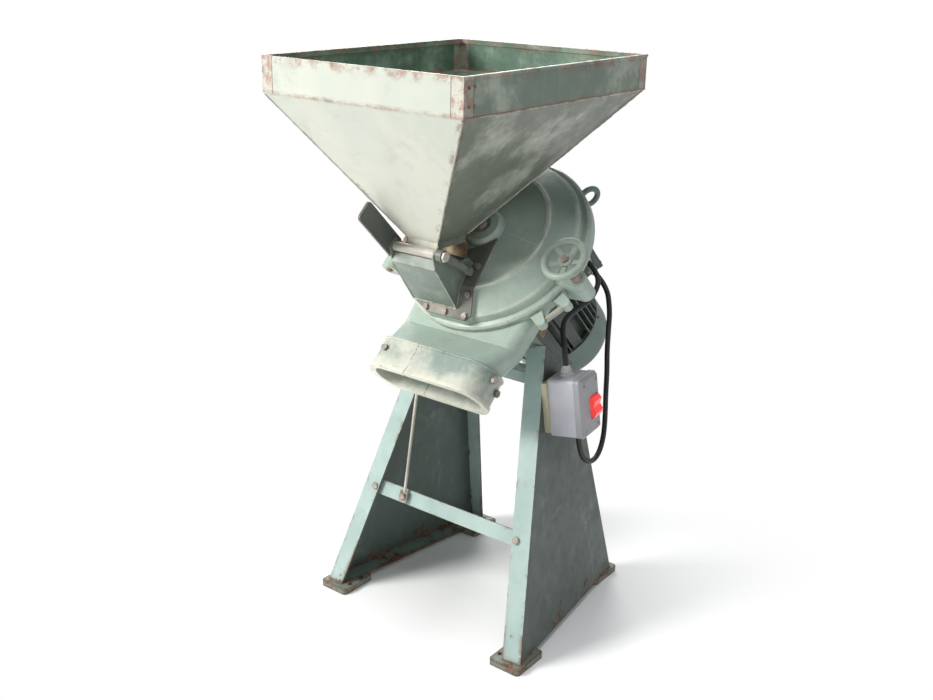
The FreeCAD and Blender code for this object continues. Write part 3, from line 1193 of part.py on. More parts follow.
def cable(label, points, radius):
    """A tube along straight runs joined by tangent arcs, each as large as its two runs allow."""
    edges = []
    start = points[0]
    length = 0.0
    for index in range(1, len(points) - 1):
        before, here, after = points[index - 1], points[index], points[index + 1]
        into = (here - before)
        out = (after - here)
        shorter = min(into.Length, out.Length)
        turn = into.getAngle(out)
        setback = 0.45 * shorter
        bend = setback / math.tan(turn / 2)
        into_way = Vector(into).normalize()
        out_way = Vector(out).normalize()
        arc_start = here - into_way * setback
        arc_end = here + out_way * setback
        bisector = (out_way - into_way).normalize()
        centre_gap = bend / math.cos(turn / 2)
        middle = here + bisector * (centre_gap - bend)
        if (arc_start - start).Length > 1e-6:
            edges.append(Part.LineSegment(start, arc_start).toShape())
        edges.append(Part.Arc(arc_start, middle, arc_end).toShape())
        length += (arc_start - start).Length + bend * turn
        start = arc_end
        print(label, "point", index, "turn", round(math.degrees(turn)), "radius", round(bend, 1),
              "run", round(into.Length, 1))
    edges.append(Part.LineSegment(start, points[-1]).toShape())
    length += (points[-1] - start).Length
    path = Part.Wire(edges)
    first_way = points[1] - points[0]
    section = Part.Wire([Part.Circle(points[0], first_way, radius).toShape()])
    tube = path.makePipeShell([section], True, False)
    share = tube.Volume / (math.pi * radius ** 2 * length)
    print(label, "length", round(length, 1), "volume over section times length", round(share, 5),
          "valid", tube.isValid())
    plain_solid(label, tube)


def switch_point(x, y, z):
    return SWITCH.multVec(Vector(x, y, z))


def terminal_point(x, y, z):
    return terminal_frame.multVec(Vector(x, y, z))


box_mid = (d.box_seat + d.box_height / 2).value
low_gland = terminal_point(box_mid, -d.box_side.value / 2 - 21, -20.0)
high_gland = terminal_point(box_mid, -d.box_side.value / 2 - 21, 22.0)
bottom_gland = switch_point(26.0, -half_h.value - 24, gland_depth)
top_gland = switch_point(-8.0, half_h.value + 24, gland_depth)


def spot(x, y, z):
    """A point of a cable's route, in the row frame."""
    return Vector(x, y, z)


# The long cable hangs in a loop from the switch box's bottom gland up to the motor's terminal box.
gland_way = terminal_frame.Rotation.multVec(Vector(0, -1, 0))
long_route = [bottom_gland, bottom_gland - upward * 40, spot(238, 86, 364), spot(233, 132, 366),
              spot(226, 163, 398), spot(218, 178, 446), spot(212, 184, 496), spot(207, 192, 545),
              spot(203, 193, 594), spot(199, 200, 642), spot(197, 204, 690),
              low_gland + gland_way * 50, low_gland]
cable("motor_cable", long_route, d.cable_radius.value)

# The short cable rises from the top gland and passes over the stand's corner beside the motor.
short_route = [top_gland, top_gland + upward * 36, spot(180, 38, 676), spot(160, 74, 690),
               spot(166, 114, 706), spot(184, 150, 727), high_gland + gland_way * 52, high_gland]
cable("feed_cable", short_route, d.cable_radius.value)

print("foot hole centres", [(round(x, 3), round(y, 3)) for x, y in foot_holes])
doc.recompute()
faults = [item.Label for item in doc.Objects if "Invalid" in item.State or "Error" in item.State]
for node in nodes:
    if node.Shape.isNull() or not node.Shape.isValid() or not node.Shape.Solids:
        faults.append(node.Label)
if faults:
    raise RuntimeError("these did not build: " + ", ".join(faults))
os.makedirs("parts", exist_ok=True)
for node in nodes:
    node.Shape.exportStep(os.path.join("parts", node.Label + ".step"))
box = FreeCAD.BoundBox()
for node in nodes:
    box.add(node.Shape.BoundBox)
print("outline", [round(v, 2) for v in (box.XMin, box.XMax, box.YMin, box.YMax, box.ZMin, box.ZMax)])
print(len(nodes), "nodes written")
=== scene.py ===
import bpy
import bmesh
import math
import random
from mathutils import Matrix, Vector


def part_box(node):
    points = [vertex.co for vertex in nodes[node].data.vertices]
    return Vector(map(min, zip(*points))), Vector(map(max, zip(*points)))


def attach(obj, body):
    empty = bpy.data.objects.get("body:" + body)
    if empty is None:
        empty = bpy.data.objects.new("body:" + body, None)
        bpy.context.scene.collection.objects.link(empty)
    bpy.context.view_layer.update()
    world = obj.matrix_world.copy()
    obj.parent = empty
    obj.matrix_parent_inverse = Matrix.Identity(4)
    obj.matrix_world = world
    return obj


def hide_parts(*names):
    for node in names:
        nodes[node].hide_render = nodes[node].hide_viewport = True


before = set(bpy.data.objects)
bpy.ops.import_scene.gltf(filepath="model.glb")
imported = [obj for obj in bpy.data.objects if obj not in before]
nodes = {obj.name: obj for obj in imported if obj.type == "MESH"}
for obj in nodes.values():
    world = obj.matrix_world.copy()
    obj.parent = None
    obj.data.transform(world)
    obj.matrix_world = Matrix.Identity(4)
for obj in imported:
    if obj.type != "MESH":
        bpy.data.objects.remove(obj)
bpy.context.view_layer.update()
random.seed(7)

# The camera stands where the photograph's left view was taken from, with the object in mid frame.
AZIMUTH, ELEVATION, ROLL = 37.46, 19.75, 1.24
FOCAL_PX, FRAME_WIDTH = 1142.18, 933.0
CAMERA_PLACE = Vector((1.4312, -1.9330, 1.4641))


def place_camera():
    a, e, r = (math.radians(v) for v in (AZIMUTH, ELEVATION, ROLL))
    back = Vector((math.sin(a) * math.cos(e), -math.cos(a) * math.cos(e), math.sin(e)))
    level_right = (-back).cross(Vector((0, 0, 1))).normalized()
    level_up = level_right.cross(-back)
    right = math.cos(r) * level_right + math.sin(r) * level_up
    up = math.cos(r) * level_up - math.sin(r) * level_right
    data = bpy.data.cameras.new("camera")
    data.sensor_width = 36.0
    data.lens = 36.0 * FOCAL_PX / FRAME_WIDTH
    camera = bpy.data.objects.new("camera", data)
    bpy.context.scene.collection.objects.link(camera)
    turn = Matrix((right, up, back)).transposed().to_4x4()
    camera.matrix_world = Matrix.Translation(CAMERA_PLACE) @ turn
    bpy.context.scene.camera = camera


place_camera()


# Stage: a white surround, a pale floor and three soft lights.
def area_light(name, place, target, size, power, colour=(1, 1, 1)):
    data = bpy.data.lights.new(name, "AREA")
    data.shape = "DISK"
    data.size = size
    data.energy = power
    data.color = colour
    lamp = bpy.data.objects.new(name, data)
    bpy.context.scene.collection.objects.link(lamp)
    lamp.location = place
    lamp.rotation_euler = (Vector(target) - Vector(place)).to_track_quat("-Z", "Y").to_euler()


LIT_WITHIN, WHITE_BEYOND = 0.30, 0.95


def fade_to_white(tree, shader):
    """The floor as the camera sees it turns from lit paint near the feet to plain white farther out."""
    coords = tree.nodes.new("ShaderNodeTexCoord")
    distance = tree.nodes.new("ShaderNodeVectorMath")
    distance.operation = "LENGTH"
    tree.links.new(coords.outputs["Object"], distance.inputs[0])
    spread = tree.nodes.new("ShaderNodeMapRange")
    spread.interpolation_type = "SMOOTHSTEP"
    spread.inputs["From Min"].default_value = LIT_WITHIN
    spread.inputs["From Max"].default_value = WHITE_BEYOND
    tree.links.new(distance.outputs["Value"], spread.inputs["Value"])
    path = tree.nodes.new("ShaderNodeLightPath")
    seen = tree.nodes.new("ShaderNodeMath")
    seen.operation = "MULTIPLY"
    tree.links.new(spread.outputs["Result"], seen.inputs[0])
    tree.links.new(path.outputs["Is Camera Ray"], seen.inputs[1])
    white = tree.nodes.new("ShaderNodeEmission")
    white.inputs["Color"].default_value = (1, 1, 1, 1)
    white.inputs["Strength"].default_value = 1.0
    mix = tree.nodes.new("ShaderNodeMixShader")
    tree.links.new(seen.outputs[0], mix.inputs[0])
    tree.links.new(shader.outputs[0], mix.inputs[1])
    tree.links.new(white.outputs[0], mix.inputs[2])
    tree.links.new(mix.outputs[0], tree.nodes["Material Output"].inputs["Surface"])


def build_stage():
    world = bpy.data.worlds.new("surround")
    bpy.context.scene.world = world
    world.use_nodes = True
    tree = world.node_tree
    tree.nodes.clear()
    out = tree.nodes.new("ShaderNodeOutputWorld")
    path = tree.nodes.new("ShaderNodeLightPath")
    fill = tree.nodes.new("ShaderNodeBackground")
    fill.inputs[0].default_value = (0.93, 0.96, 1.0, 1)
    fill.inputs[1].default_value = 0.40
    white = tree.nodes.new("ShaderNodeBackground")
    white.inputs[0].default_value = (1, 1, 1, 1)
    white.inputs[1].default_value = 1.0
    seen = tree.nodes.new("ShaderNodeMath")
    seen.operation = "MAXIMUM"
    tree.links.new(path.outputs["Is Camera Ray"], seen.inputs[0])
    tree.links.new(path.outputs["Is Transmission Ray"], seen.inputs[1])
    mix = tree.nodes.new("ShaderNodeMixShader")
    tree.links.new(seen.outputs[0], mix.inputs[0])
    tree.links.new(fill.outputs[0], mix.inputs[1])
    tree.links.new(white.outputs[0], mix.inputs[2])
    tree.links.new(mix.outputs[0], out.inputs[0])

    bpy.ops.mesh.primitive_circle_add(vertices=96, radius=7.0, fill_type="NGON", location=(0, 0, -0.0004))
    floor = bpy.context.object
    floor.name = "floor"
    material = bpy.data.materials.new("floor")
    material.use_nodes = True
    shader = material.node_tree.nodes["Principled BSDF"]
    shader.inputs["Base Color"].default_value = (0.93, 0.93, 0.93, 1)
    shader.inputs["Roughness"].default_value = 0.9
    fade_to_white(material.node_tree, shader)
    floor.data.materials.append(material)

    area_light("key", (-1.9, -2.9, 2.6), (0, 0, 0.75), 1.6, 175, (1.0, 0.99, 0.96))
    area_light("top", (0.1, -0.4, 4.0), (0, 0, 0.8), 2.2, 62)
    area_light("side", (3.4, 0.8, 2.1), (0, 0, 0.7), 2.2, 9, (0.97, 0.98, 1.0))
    area_light("rear", (-2.2, 2.8, 2.4), (0, 0, 0.8), 2.0, 78, (1.0, 0.99, 0.96))
    bpy.context.scene.view_settings.view_transform = "Standard"


build_stage()


# Materials. Each is a tree of noise over the object's own coordinates, which are metres in the row frame.
class Tree:
    """Short names for the nodes that the materials are made of."""

    def __init__(self, name):
        self.material = bpy.data.materials.new(name)
        self.material.use_nodes = True
        self.tree = self.material.node_tree
        self.shader = self.tree.nodes["Principled BSDF"]
        self.coords = self.tree.nodes.new("ShaderNodeTexCoord").outputs["Object"]

    def node(self, kind):
        return self.tree.nodes.new(kind)

    def link(self, output, target):
        self.tree.links.new(output, target)

    def stretched(self, scale):
        mapping = self.node("ShaderNodeMapping")
        mapping.inputs["Scale"].default_value = scale
        self.link(self.coords, mapping.inputs["Vector"])
        return mapping.outputs[0]

    def noise(self, scale, detail=5.0, rough=0.6, vector=None, offset=0.0):
        item = self.node("ShaderNodeTexNoise")
        item.noise_dimensions = "4D"
        item.inputs["W"].default_value = offset
        item.inputs["Scale"].default_value = scale
        item.inputs["Detail"].default_value = detail
        item.inputs["Roughness"].default_value = rough
        self.link(vector or self.coords, item.inputs["Vector"])
        return item.outputs["Fac"]

    def step(self, value, low, high, out_low=0.0, out_high=1.0):
        """The value's range from low to high spread smoothly over a new range, and clamped."""
        item = self.node("ShaderNodeMapRange")
        item.interpolation_type = "SMOOTHSTEP"
        item.inputs["From Min"].default_value = low
        item.inputs["From Max"].default_value = high
        item.inputs["To Min"].default_value = out_low
        item.inputs["To Max"].default_value = out_high
        self.link(value, item.inputs["Value"])
        return item.outputs["Result"]

    def math(self, kind, first, second=0.0):
        item = self.node("ShaderNodeMath")
        item.operation = kind
        for index, value in enumerate((first, second)):
            if isinstance(value, (int, float)):
                item.inputs[index].default_value = value
            else:
                self.link(value, item.inputs[index])
        return item.outputs[0]

    def mix(self, amount, first, second):
        item = self.node("ShaderNodeMix")
        item.data_type = "RGBA"
        if isinstance(amount, (int, float)):
            item.inputs[0].default_value = amount
        else:
            self.link(amount, item.inputs[0])
        for index, value in ((6, first), (7, second)):
            if isinstance(value, tuple):
                item.inputs[index].default_value = (*value, 1.0)
            else:
                self.link(value, item.inputs[index])
        return item.outputs[2]

    def vector(self, kind, first, second):
        """A vector operation on an output and a second output or a fixed vector."""
        item = self.node("ShaderNodeVectorMath")
        item.operation = kind
        self.link(first, item.inputs[0])
        if isinstance(second, tuple):
            item.inputs[1].default_value = second
        else:
            self.link(second, item.inputs[1])
        return item.outputs["Value" if kind == "DOT_PRODUCT" else "Vector"]

    def normal(self):
        """The way a face looks, in the object's own frame."""
        return self.node("ShaderNodeTexCoord").outputs["Normal"]

    def edges(self, radius):
        """1 on corners that stand out or in within the radius, and 0 on flat ground."""
        bevel = self.node("ShaderNodeBevel")
        bevel.samples = 4
        bevel.inputs["Radius"].default_value = radius
        flat = self.node("ShaderNodeNewGeometry").outputs["Normal"]
        return self.math("SUBTRACT", 1.0, self.vector("DOT_PRODUCT", bevel.outputs[0], flat))

    def split(self):
        item = self.node("ShaderNodeSeparateXYZ")
        self.link(self.coords, item.inputs[0])
        return item.outputs

    def facing(self, direction, low=0.35, high=0.65):
        """1 on faces that look along a direction of the object's own frame."""
        return self.step(self.vector("DOT_PRODUCT", self.normal(), direction), low, high)

    def near(self, value, middle, half, soft):
        """1 where the value lies within half of the middle, and 0 beyond the soft margin."""
        distance = self.math("ABSOLUTE", self.math("SUBTRACT", value, middle))
        return self.step(distance, half, half + soft, 1.0, 0.0)

    def local(self, place, turn):
        """The coordinates in another frame, given by its origin and its rotation."""
        mapping = self.node("ShaderNodeMapping")
        mapping.vector_type = "TEXTURE"
        mapping.inputs["Location"].default_value = place
        mapping.inputs["Rotation"].default_value = turn
        self.link(self.coords, mapping.inputs["Vector"])
        item = self.node("ShaderNodeSeparateXYZ")
        self.link(mapping.outputs[0], item.inputs[0])
        return item.outputs

    def bump(self, height, strength, distance, after=None):
        item = self.node("ShaderNodeBump")
        item.inputs["Strength"].default_value = strength
        item.inputs["Distance"].default_value = distance
        self.link(height, item.inputs["Height"])
        if after is not None:
            self.link(after, item.inputs["Normal"])
        return item.outputs[0]

    def finish(self, colour, rough, normal=None, metal=None):
        self.link(colour, self.shader.inputs["Base Color"])
        self.link(rough, self.shader.inputs["Roughness"])
        if metal is not None:
            if isinstance(metal, float):
                self.shader.inputs["Metallic"].default_value = metal
            else:
                self.link(metal, self.shader.inputs["Metallic"])
        if normal is not None:
            self.link(normal, self.shader.inputs["Normal"])
        return self.material


RUST_DARK = (0.075, 0.032, 0.018)
RUST_LIGHT = (0.26, 0.115, 0.055)
GRIME = (0.085, 0.090, 0.070)
BARE_METAL = (0.44, 0.42, 0.34)


def worn_paint(name, base, second, pale, pale_amount=0.3, rust=0.3, edge_rust=0.4, low_rust=0.0,
               edge_radius=0.003, cast=0.0, rough=0.42, grime=0.35, seed=0.0, under=None, over=None):
    """Old enamel: two tones, paler rubbed patches, specks, worn edges and rust through the chips.

    under recolours the ground coat before the wear, and over adds marks on top of the wear; both also serve
    to paint light and shade onto some faces.
    """
    t = Tree(name)
    cloud = t.step(t.noise(3.2, 4, 0.55, offset=seed), 0.38, 0.64)
    colour = t.mix(cloud, base, second)
    if under is not None:
        colour = under(t, colour)
    patches = t.noise(8.5, 8, 0.68, offset=seed + 3.1)
    rubbed = t.step(patches, 0.60 - 0.22 * pale_amount, 0.80 - 0.18 * pale_amount)
    colour = t.mix(t.math("MULTIPLY", rubbed, 0.35 + 0.6 * pale_amount), colour, pale)
    streak = t.step(t.noise(42, 5, 0.7, vector=t.stretched((1.0, 1.0, 0.16)), offset=seed + 5.0), 0.52, 0.74)
    colour = t.mix(t.math("MULTIPLY", streak, 0.16), colour, pale)
    dirt = t.step(t.noise(16, 9, 0.72, offset=seed + 8.0), 0.50, 0.72)
    colour = t.mix(t.math("MULTIPLY", dirt, 0.32 * grime + 0.08), colour, GRIME)
    specks = t.step(t.noise(210, 3, 0.6, offset=seed + 11.0), 0.69, 0.76)
    colour = t.mix(t.math("MULTIPLY", specks, 0.5), colour, (0.055, 0.040, 0.030))
    chips = t.step(t.noise(95, 6, 0.7, offset=seed + 14.0), 0.66, 0.70)
    colour = t.mix(t.math("MULTIPLY", chips, 0.55), colour, (0.50, 0.47, 0.38))
    corner = t.edges(edge_radius)
    frayed = t.math("ADD", corner, t.step(t.noise(70, 6, 0.7, offset=seed + 17.0), 0.35, 0.75, -0.13, 0.13))
    bare = t.step(frayed, 0.10, 0.20)
    rust_share = t.step(t.noise(26, 5, 0.6, offset=seed + 19.0), 0.44, 0.60)
    edge_tone = t.mix(rust_share, BARE_METAL, RUST_LIGHT)
    colour = t.mix(t.math("MULTIPLY", bare, 0.78), colour, edge_tone)
    wide = t.edges(edge_radius * 4.5)
    field = t.noise(20, 10, 0.72, offset=seed + 23.0)
    push = t.math("MULTIPLY", t.step(wide, 0.015, 0.16), 0.20 * edge_rust)
    if low_rust:
        height = t.split()[2]
        push = t.math("ADD", push, t.step(height, 0.0, 0.16, 0.17 * low_rust, 0.0))
    rusty = t.step(t.math("ADD", field, push), 0.70 - 0.05 * rust, 0.76 - 0.05 * rust)
    rust_tone = t.mix(t.step(t.noise(60, 6, 0.7, offset=seed + 29.0), 0.40, 0.62), RUST_DARK, RUST_LIGHT)
    if over is not None:
        colour = over(t, colour)
    colour = t.mix(t.math("MULTIPLY", rusty, 0.92), colour, rust_tone)
    matt = t.math("MAXIMUM", rusty, t.math("MULTIPLY", bare, 0.4))
    shine = t.step(t.noise(30, 5, 0.6, offset=seed + 31.0), 0.3, 0.7, rough - 0.07, rough + 0.12)
    roughness = t.math("ADD", shine, t.math("MULTIPLY", matt, 0.34))
    orange = t.noise(260, 3, 0.5, offset=seed + 37.0)
    normal = t.bump(orange, 0.22 + 0.3 * cast, 0.0006 + 0.0012 * cast)
    if cast:
        normal = t.bump(t.noise(34, 5, 0.55, offset=seed + 41.0), 0.20 * cast, 0.006, normal)
    relief = t.math("SUBTRACT", rusty, t.math("MULTIPLY", bare, 0.5))
    normal = t.bump(relief, 0.35, 0.0006, normal)
    return t.finish(colour, roughness, normal)


def rusted_steel(name, tone=(0.20, 0.16, 0.13), light=(0.42, 0.38, 0.33), rust=0.5, metal=0.55,
                 rough=0.5, seed=0.0):
    """Bare iron gone dull, with rust bloom and brighter rubbed corners."""
    t = Tree(name)
    colour = t.mix(t.step(t.noise(45, 7, 0.7, offset=seed), 0.38, 0.66), tone, light)
    bloom = t.step(t.noise(75, 8, 0.75, offset=seed + 4.0), 0.60 - 0.16 * rust, 0.70 - 0.12 * rust)
    rust_tone = t.mix(t.step(t.noise(190, 5, 0.7, offset=seed + 6.0), 0.4, 0.6), RUST_DARK, RUST_LIGHT)
    colour = t.mix(t.math("MULTIPLY", bloom, 0.85), colour, rust_tone)
    bright = t.step(t.edges(0.0016), 0.05, 0.22)
    colour = t.mix(t.math("MULTIPLY", bright, 0.45), colour, (0.52, 0.49, 0.44))
    metallic = t.step(bloom, 0.0, 1.0, metal, 0.05)
    roughness = t.step(bloom, 0.0, 1.0, rough, 0.86)
    normal = t.bump(t.noise(240, 5, 0.7, offset=seed + 9.0), 0.35, 0.0007)
    return t.finish(colour, roughness, normal, metallic)


def machined(name, tone, rough=0.32, seed=0.0):
    """Bright turned metal with a fine grain."""
    t = Tree(name)
    rings = t.noise(120, 4, 0.6, offset=seed)
    cloud = t.step(t.noise(18, 5, 0.6, offset=seed + 2.0), 0.35, 0.7)
    colour = t.mix(cloud, tone, tuple(v * 0.62 for v in tone))
    roughness = t.step(rings, 0.3, 0.7, rough - 0.06, rough + 0.16)
    return t.finish(colour, roughness, t.bump(rings, 0.15, 0.0004), 0.9)


def moulded(name, tone, rough, grime=0.25, grain=0.25, seed=0.0):
    """Plastic with dust in patches and rubbed corners."""
    t = Tree(name)
    colour = t.mix(t.step(t.noise(9, 5, 0.6, offset=seed), 0.35, 0.68), tone, tuple(v * 0.88 for v in tone))
    dust = t.step(t.noise(28, 8, 0.7, offset=seed + 3.0), 0.52, 0.76)
    colour = t.mix(t.math("MULTIPLY", dust, grime), colour, (0.30, 0.27, 0.22))
    rubbed = t.step(t.edges(0.002), 0.04, 0.25)
    colour = t.mix(t.math("MULTIPLY", rubbed, 0.30), colour, tuple(min(1.0, v * 1.25 + 0.03) for v in tone))
    roughness = t.step(t.noise(40, 4, 0.6, offset=seed + 5.0), 0.3, 0.7, rough - 0.05, rough + 0.12)
    return t.finish(colour, roughness, t.bump(t.noise(420, 3, 0.5, offset=seed + 7.0), grain, 0.0004))


def timber(name):
    """Raw wood with its grain along x and dark stains."""
    t = Tree(name)
    warp = t.noise(7, 3, 0.5)
    along = t.stretched((0.5, 9.0, 9.0))
    grain = t.noise(9, 6, 0.62, vector=along)
    ring = t.step(t.math("ADD", grain, t.math("MULTIPLY", warp, 0.3)), 0.46, 0.80)
    colour = t.mix(ring, (0.50, 0.37, 0.23), (0.24, 0.15, 0.085))
    stain = t.step(t.noise(11, 6, 0.7, offset=4.0), 0.5, 0.72)
    colour = t.mix(t.math("MULTIPLY", stain, 0.55), colour, (0.13, 0.10, 0.075))
    return t.finish(colour, t.step(grain, 0.2, 0.8, 0.62, 0.86), t.bump(grain, 0.4, 0.001))


# What the marks are measured from, in metres of the row frame.
MILL_PLACE = (0.0, 0.17322, 0.700)
MILL_TURN = (math.radians(45), 0.0, 0.0)
HOPPER_MIDDLE = (-0.0025, -0.0973)
HOPPER_KNEE = 1.181
HOPPER_RIM = 1.250
HALF_ACROSS = 0.245
HALF_ALONG = 0.307
ANGLE_STRIP = 0.029
PALE_CREAM = (0.54, 0.54, 0.465)
PINK_RUST = (0.40, 0.235, 0.175)


def hopper_tone_light_and_shade(t, colour):
    """Painted light as a pale cream on the front wall, painted shade as a dull grey-green on the right one,
    darkest below the knee, and deep green inside.
    """
    streak = t.noise(6.5, 5, 0.6, vector=t.stretched((1.0, 1.0, 0.25)), offset=2.0)
    # The front wall's pale cream is painted light on the faces looking forward.
    cream = t.mix(t.step(streak, 0.35, 0.65), PALE_CREAM, (0.47, 0.50, 0.44))
    colour = t.mix(t.math("MULTIPLY", t.facing((0, -1, 0), 0.4, 0.6), 0.92), colour, cream)
    height = t.split()[2]
    above = t.step(height, HOPPER_KNEE - 0.004, HOPPER_KNEE + 0.002)
    # The right wall's dull grey-green, darker below the knee, is painted shade.
    shaded_right_wall = t.mix(above, (0.115, 0.126, 0.096), (0.150, 0.195, 0.152))
    colour = t.mix(t.math("MULTIPLY", t.facing((1, 0, 0), 0.4, 0.6), 0.85), colour, shaded_right_wall)
    from_middle = t.vector("SUBTRACT", t.coords, (*HOPPER_MIDDLE, 0.0))
    level = t.vector("MULTIPLY", from_middle, (1, 1, 0))
    outward = t.vector("DOT_PRODUCT", level, t.normal())
    inside = t.step(outward, -0.004, -0.001, 1.0, 0.0)
    mottle = t.step(t.noise(7, 7, 0.7, offset=12.0), 0.42, 0.66)
    green = t.mix(mottle, (0.075, 0.135, 0.095), (0.235, 0.325, 0.245))
    return t.mix(inside, colour, green)


def hopper_marks(t, colour):
    """Rust along the rim, the knee and the angle strips on the band's corners."""
    x, y, z = t.split()
    ragged = t.noise(34, 8, 0.72, offset=5.0)
    rim = t.step(t.math("ADD", z, t.math("MULTIPLY", ragged, 0.05)), HOPPER_RIM + 0.006, HOPPER_RIM + 0.026)
    knee = t.math("MULTIPLY", t.near(z, HOPPER_KNEE, 0.0012, 0.006), t.step(ragged, 0.38, 0.58))
    across = t.math("ABSOLUTE", t.math("SUBTRACT", x, HOPPER_MIDDLE[0]))
    along = t.math("ABSOLUTE", t.math("SUBTRACT", y, HOPPER_MIDDLE[1]))
    edge_across = HALF_ACROSS - ANGLE_STRIP
    edge_along = HALF_ALONG - ANGLE_STRIP
    corner = t.math("MULTIPLY", t.step(across, edge_across, edge_across + 0.001),
                    t.step(along, edge_along, edge_along + 0.001))
    strip = t.math("MULTIPLY", corner, t.step(z, HOPPER_KNEE - 0.006, HOPPER_KNEE))
    colour = t.mix(t.math("MULTIPLY", strip, 0.45), colour, (0.50, 0.455, 0.395))
    spots = t.step(t.noise(55, 7, 0.75, offset=9.0), 0.47, 0.57)
    rim_rust = t.math("MULTIPLY", rim, t.step(ragged, 0.46, 0.60))
    marks = t.math("MAXIMUM", rim_rust, t.math("MULTIPLY", strip, spots))
    marks = t.math("MAXIMUM", marks, t.math("MULTIPLY", knee, 0.8))
    seam_across = t.near(across, edge_across + 0.001, 0.0008, 0.0012)
    seam_along = t.near(along, edge_along + 0.001, 0.0008, 0.0012)
    seam = t.math("MULTIPLY", t.math("MAXIMUM", seam_across, seam_along), strip)
    rust = t.mix(ragged, PINK_RUST, (0.21, 0.085, 0.05))
    colour = t.mix(t.math("MULTIPLY", marks, 0.75), colour, rust)
    return t.mix(t.math("MULTIPLY", seam, 0.8), colour, (0.10, 0.07, 0.05))


def stand_tone_light_and_shade(t, colour):
    """Painted light as a pale blue-green on faces looking forward, and painted shade as a dull dark green on
    the right panel's outer face and a near-black green on the panels' inner faces.
    """
    x = t.split()[0]
    # Faces looking forward get a pale blue-green: painted light.
    front_cloud = t.step(t.noise(9, 5, 0.6, offset=3.0), 0.35, 0.65)
    front = t.mix(front_cloud, (0.400, 0.515, 0.485), (0.325, 0.430, 0.405))
    colour = t.mix(t.math("MULTIPLY", t.facing((0, -1, 0.35), 0.55, 0.8), 0.9), colour, front)
    # The right panel's outer face gets a dull dark green: painted shade.
    dull_cloud = t.step(t.noise(5, 5, 0.6, offset=7.0), 0.35, 0.65)
    dull = t.mix(dull_cloud, (0.044, 0.059, 0.048), (0.035, 0.048, 0.039))
    right_half = t.step(x, 0.0, 0.01)
    left_half = t.step(x, -0.01, 0.0, 1.0, 0.0)
    looks_right = t.facing((1, 0, 0), 0.5, 0.8)
    looks_left = t.facing((-1, 0, 0), 0.5, 0.8)
    outer_right = t.math("MULTIPLY", looks_right, right_half)
    colour = t.mix(t.math("MULTIPLY", outer_right, 0.85), colour, dull)
    # The panels' inner faces get a near-black green: painted shade between the panels.
    inner_right = t.math("MULTIPLY", looks_left, right_half)
    inner_left = t.math("MULTIPLY", looks_right, left_half)
    inner = t.math("ADD", inner_right, inner_left)
    return t.mix(t.math("MULTIPLY", inner, 0.8), colour, (0.050, 0.070, 0.060))


def cast_marks(t, colour):
    """Cream rubbed through on the cover's ring, shoulder and rim, a long scratch and painted shade over the
    cover's top, under the hopper.
    """
    x, y, z = t.local(MILL_PLACE, MILL_TURN)
    radius = t.math("SQRT", t.math("ADD", t.math("MULTIPLY", x, x), t.math("MULTIPLY", y, y)))
    scratch = t.near(t.math("ADD", y, t.math("MULTIPLY", x, 0.18)), 0.0118, 0.0006, 0.0008)
    on_flat = t.math("MULTIPLY", t.near(x, 0.103, 0.043, 0.001), t.step(z, 0.250, 0.253))
    scratch = t.math("MULTIPLY", scratch, on_flat)
    ragged = t.noise(22, 7, 0.7, offset=21.0)
    ring = t.math("MULTIPLY", t.near(radius, 0.1505, 0.0045, 0.006), t.step(z, 0.250, 0.254))
    shoulder = t.math("MULTIPLY", t.near(radius, 0.2000, 0.0015, 0.006), t.step(z, 0.214, 0.219))
    rim = t.math("MULTIPLY", t.near(radius, 0.2165, 0.0020, 0.003), t.step(z, 0.196, 0.199))
    rubbed = t.math("MAXIMUM", ring, t.math("MULTIPLY", t.math("MAXIMUM", shoulder, rim), 0.6))
    rubbed = t.math("MULTIPLY", rubbed, t.step(ragged, 0.34, 0.60))
    # Painted shadow of the hopper: the cover's upper part is darkened.
    upper = t.math("MULTIPLY", t.step(y, 0.02, 0.12), t.step(z, 0.190, 0.194))
    colour = t.mix(t.math("MULTIPLY", upper, 0.62), colour, (0.085, 0.110, 0.090))
    colour = t.mix(t.math("MULTIPLY", scratch, 0.8), colour, (0.62, 0.63, 0.54))
    return t.mix(t.math("MULTIPLY", rubbed, 0.75), colour, (0.58, 0.60, 0.51))


def collar_marks(t, colour):
    """Cream dust and rub over the collar's lower half and lip, and a crack down its front."""
    x, y = t.local(MILL_PLACE, MILL_TURN)[:2]
    ragged = t.noise(17, 8, 0.7, offset=27.0)
    fall = t.step(t.math("ADD", y, t.math("MULTIPLY", ragged, 0.09)), -0.325, -0.275, 1.0, 0.0)
    colour = t.mix(t.math("MULTIPLY", fall, 0.88), colour, (0.68, 0.665, 0.56))
    broken = t.step(t.noise(60, 4, 0.6, offset=33.0), 0.44, 0.5)
    crack = t.math("MULTIPLY", t.near(x, -0.022, 0.0006, 0.0012), broken)
    return t.mix(t.math("MULTIPLY", crack, 0.8), colour, (0.12, 0.08, 0.06))


def leather(name):
    """Creased brown leather with dark stains."""
    t = Tree(name)
    folds = t.noise(26, 6, 0.65)
    colour = t.mix(t.step(folds, 0.36, 0.66), (0.23, 0.145, 0.075), (0.46, 0.34, 0.20))
    stain = t.step(t.noise(60, 7, 0.7, offset=3.0), 0.52, 0.68)
    colour = t.mix(t.math("MULTIPLY", stain, 0.6), colour, (0.060, 0.042, 0.028))
    grain = t.bump(t.noise(150, 6, 0.7, offset=5.0), 0.5, 0.0015)
    return t.finish(colour, t.step(folds, 0.3, 0.7, 0.55, 0.82), grain)


CREAM = (0.50, 0.52, 0.44)

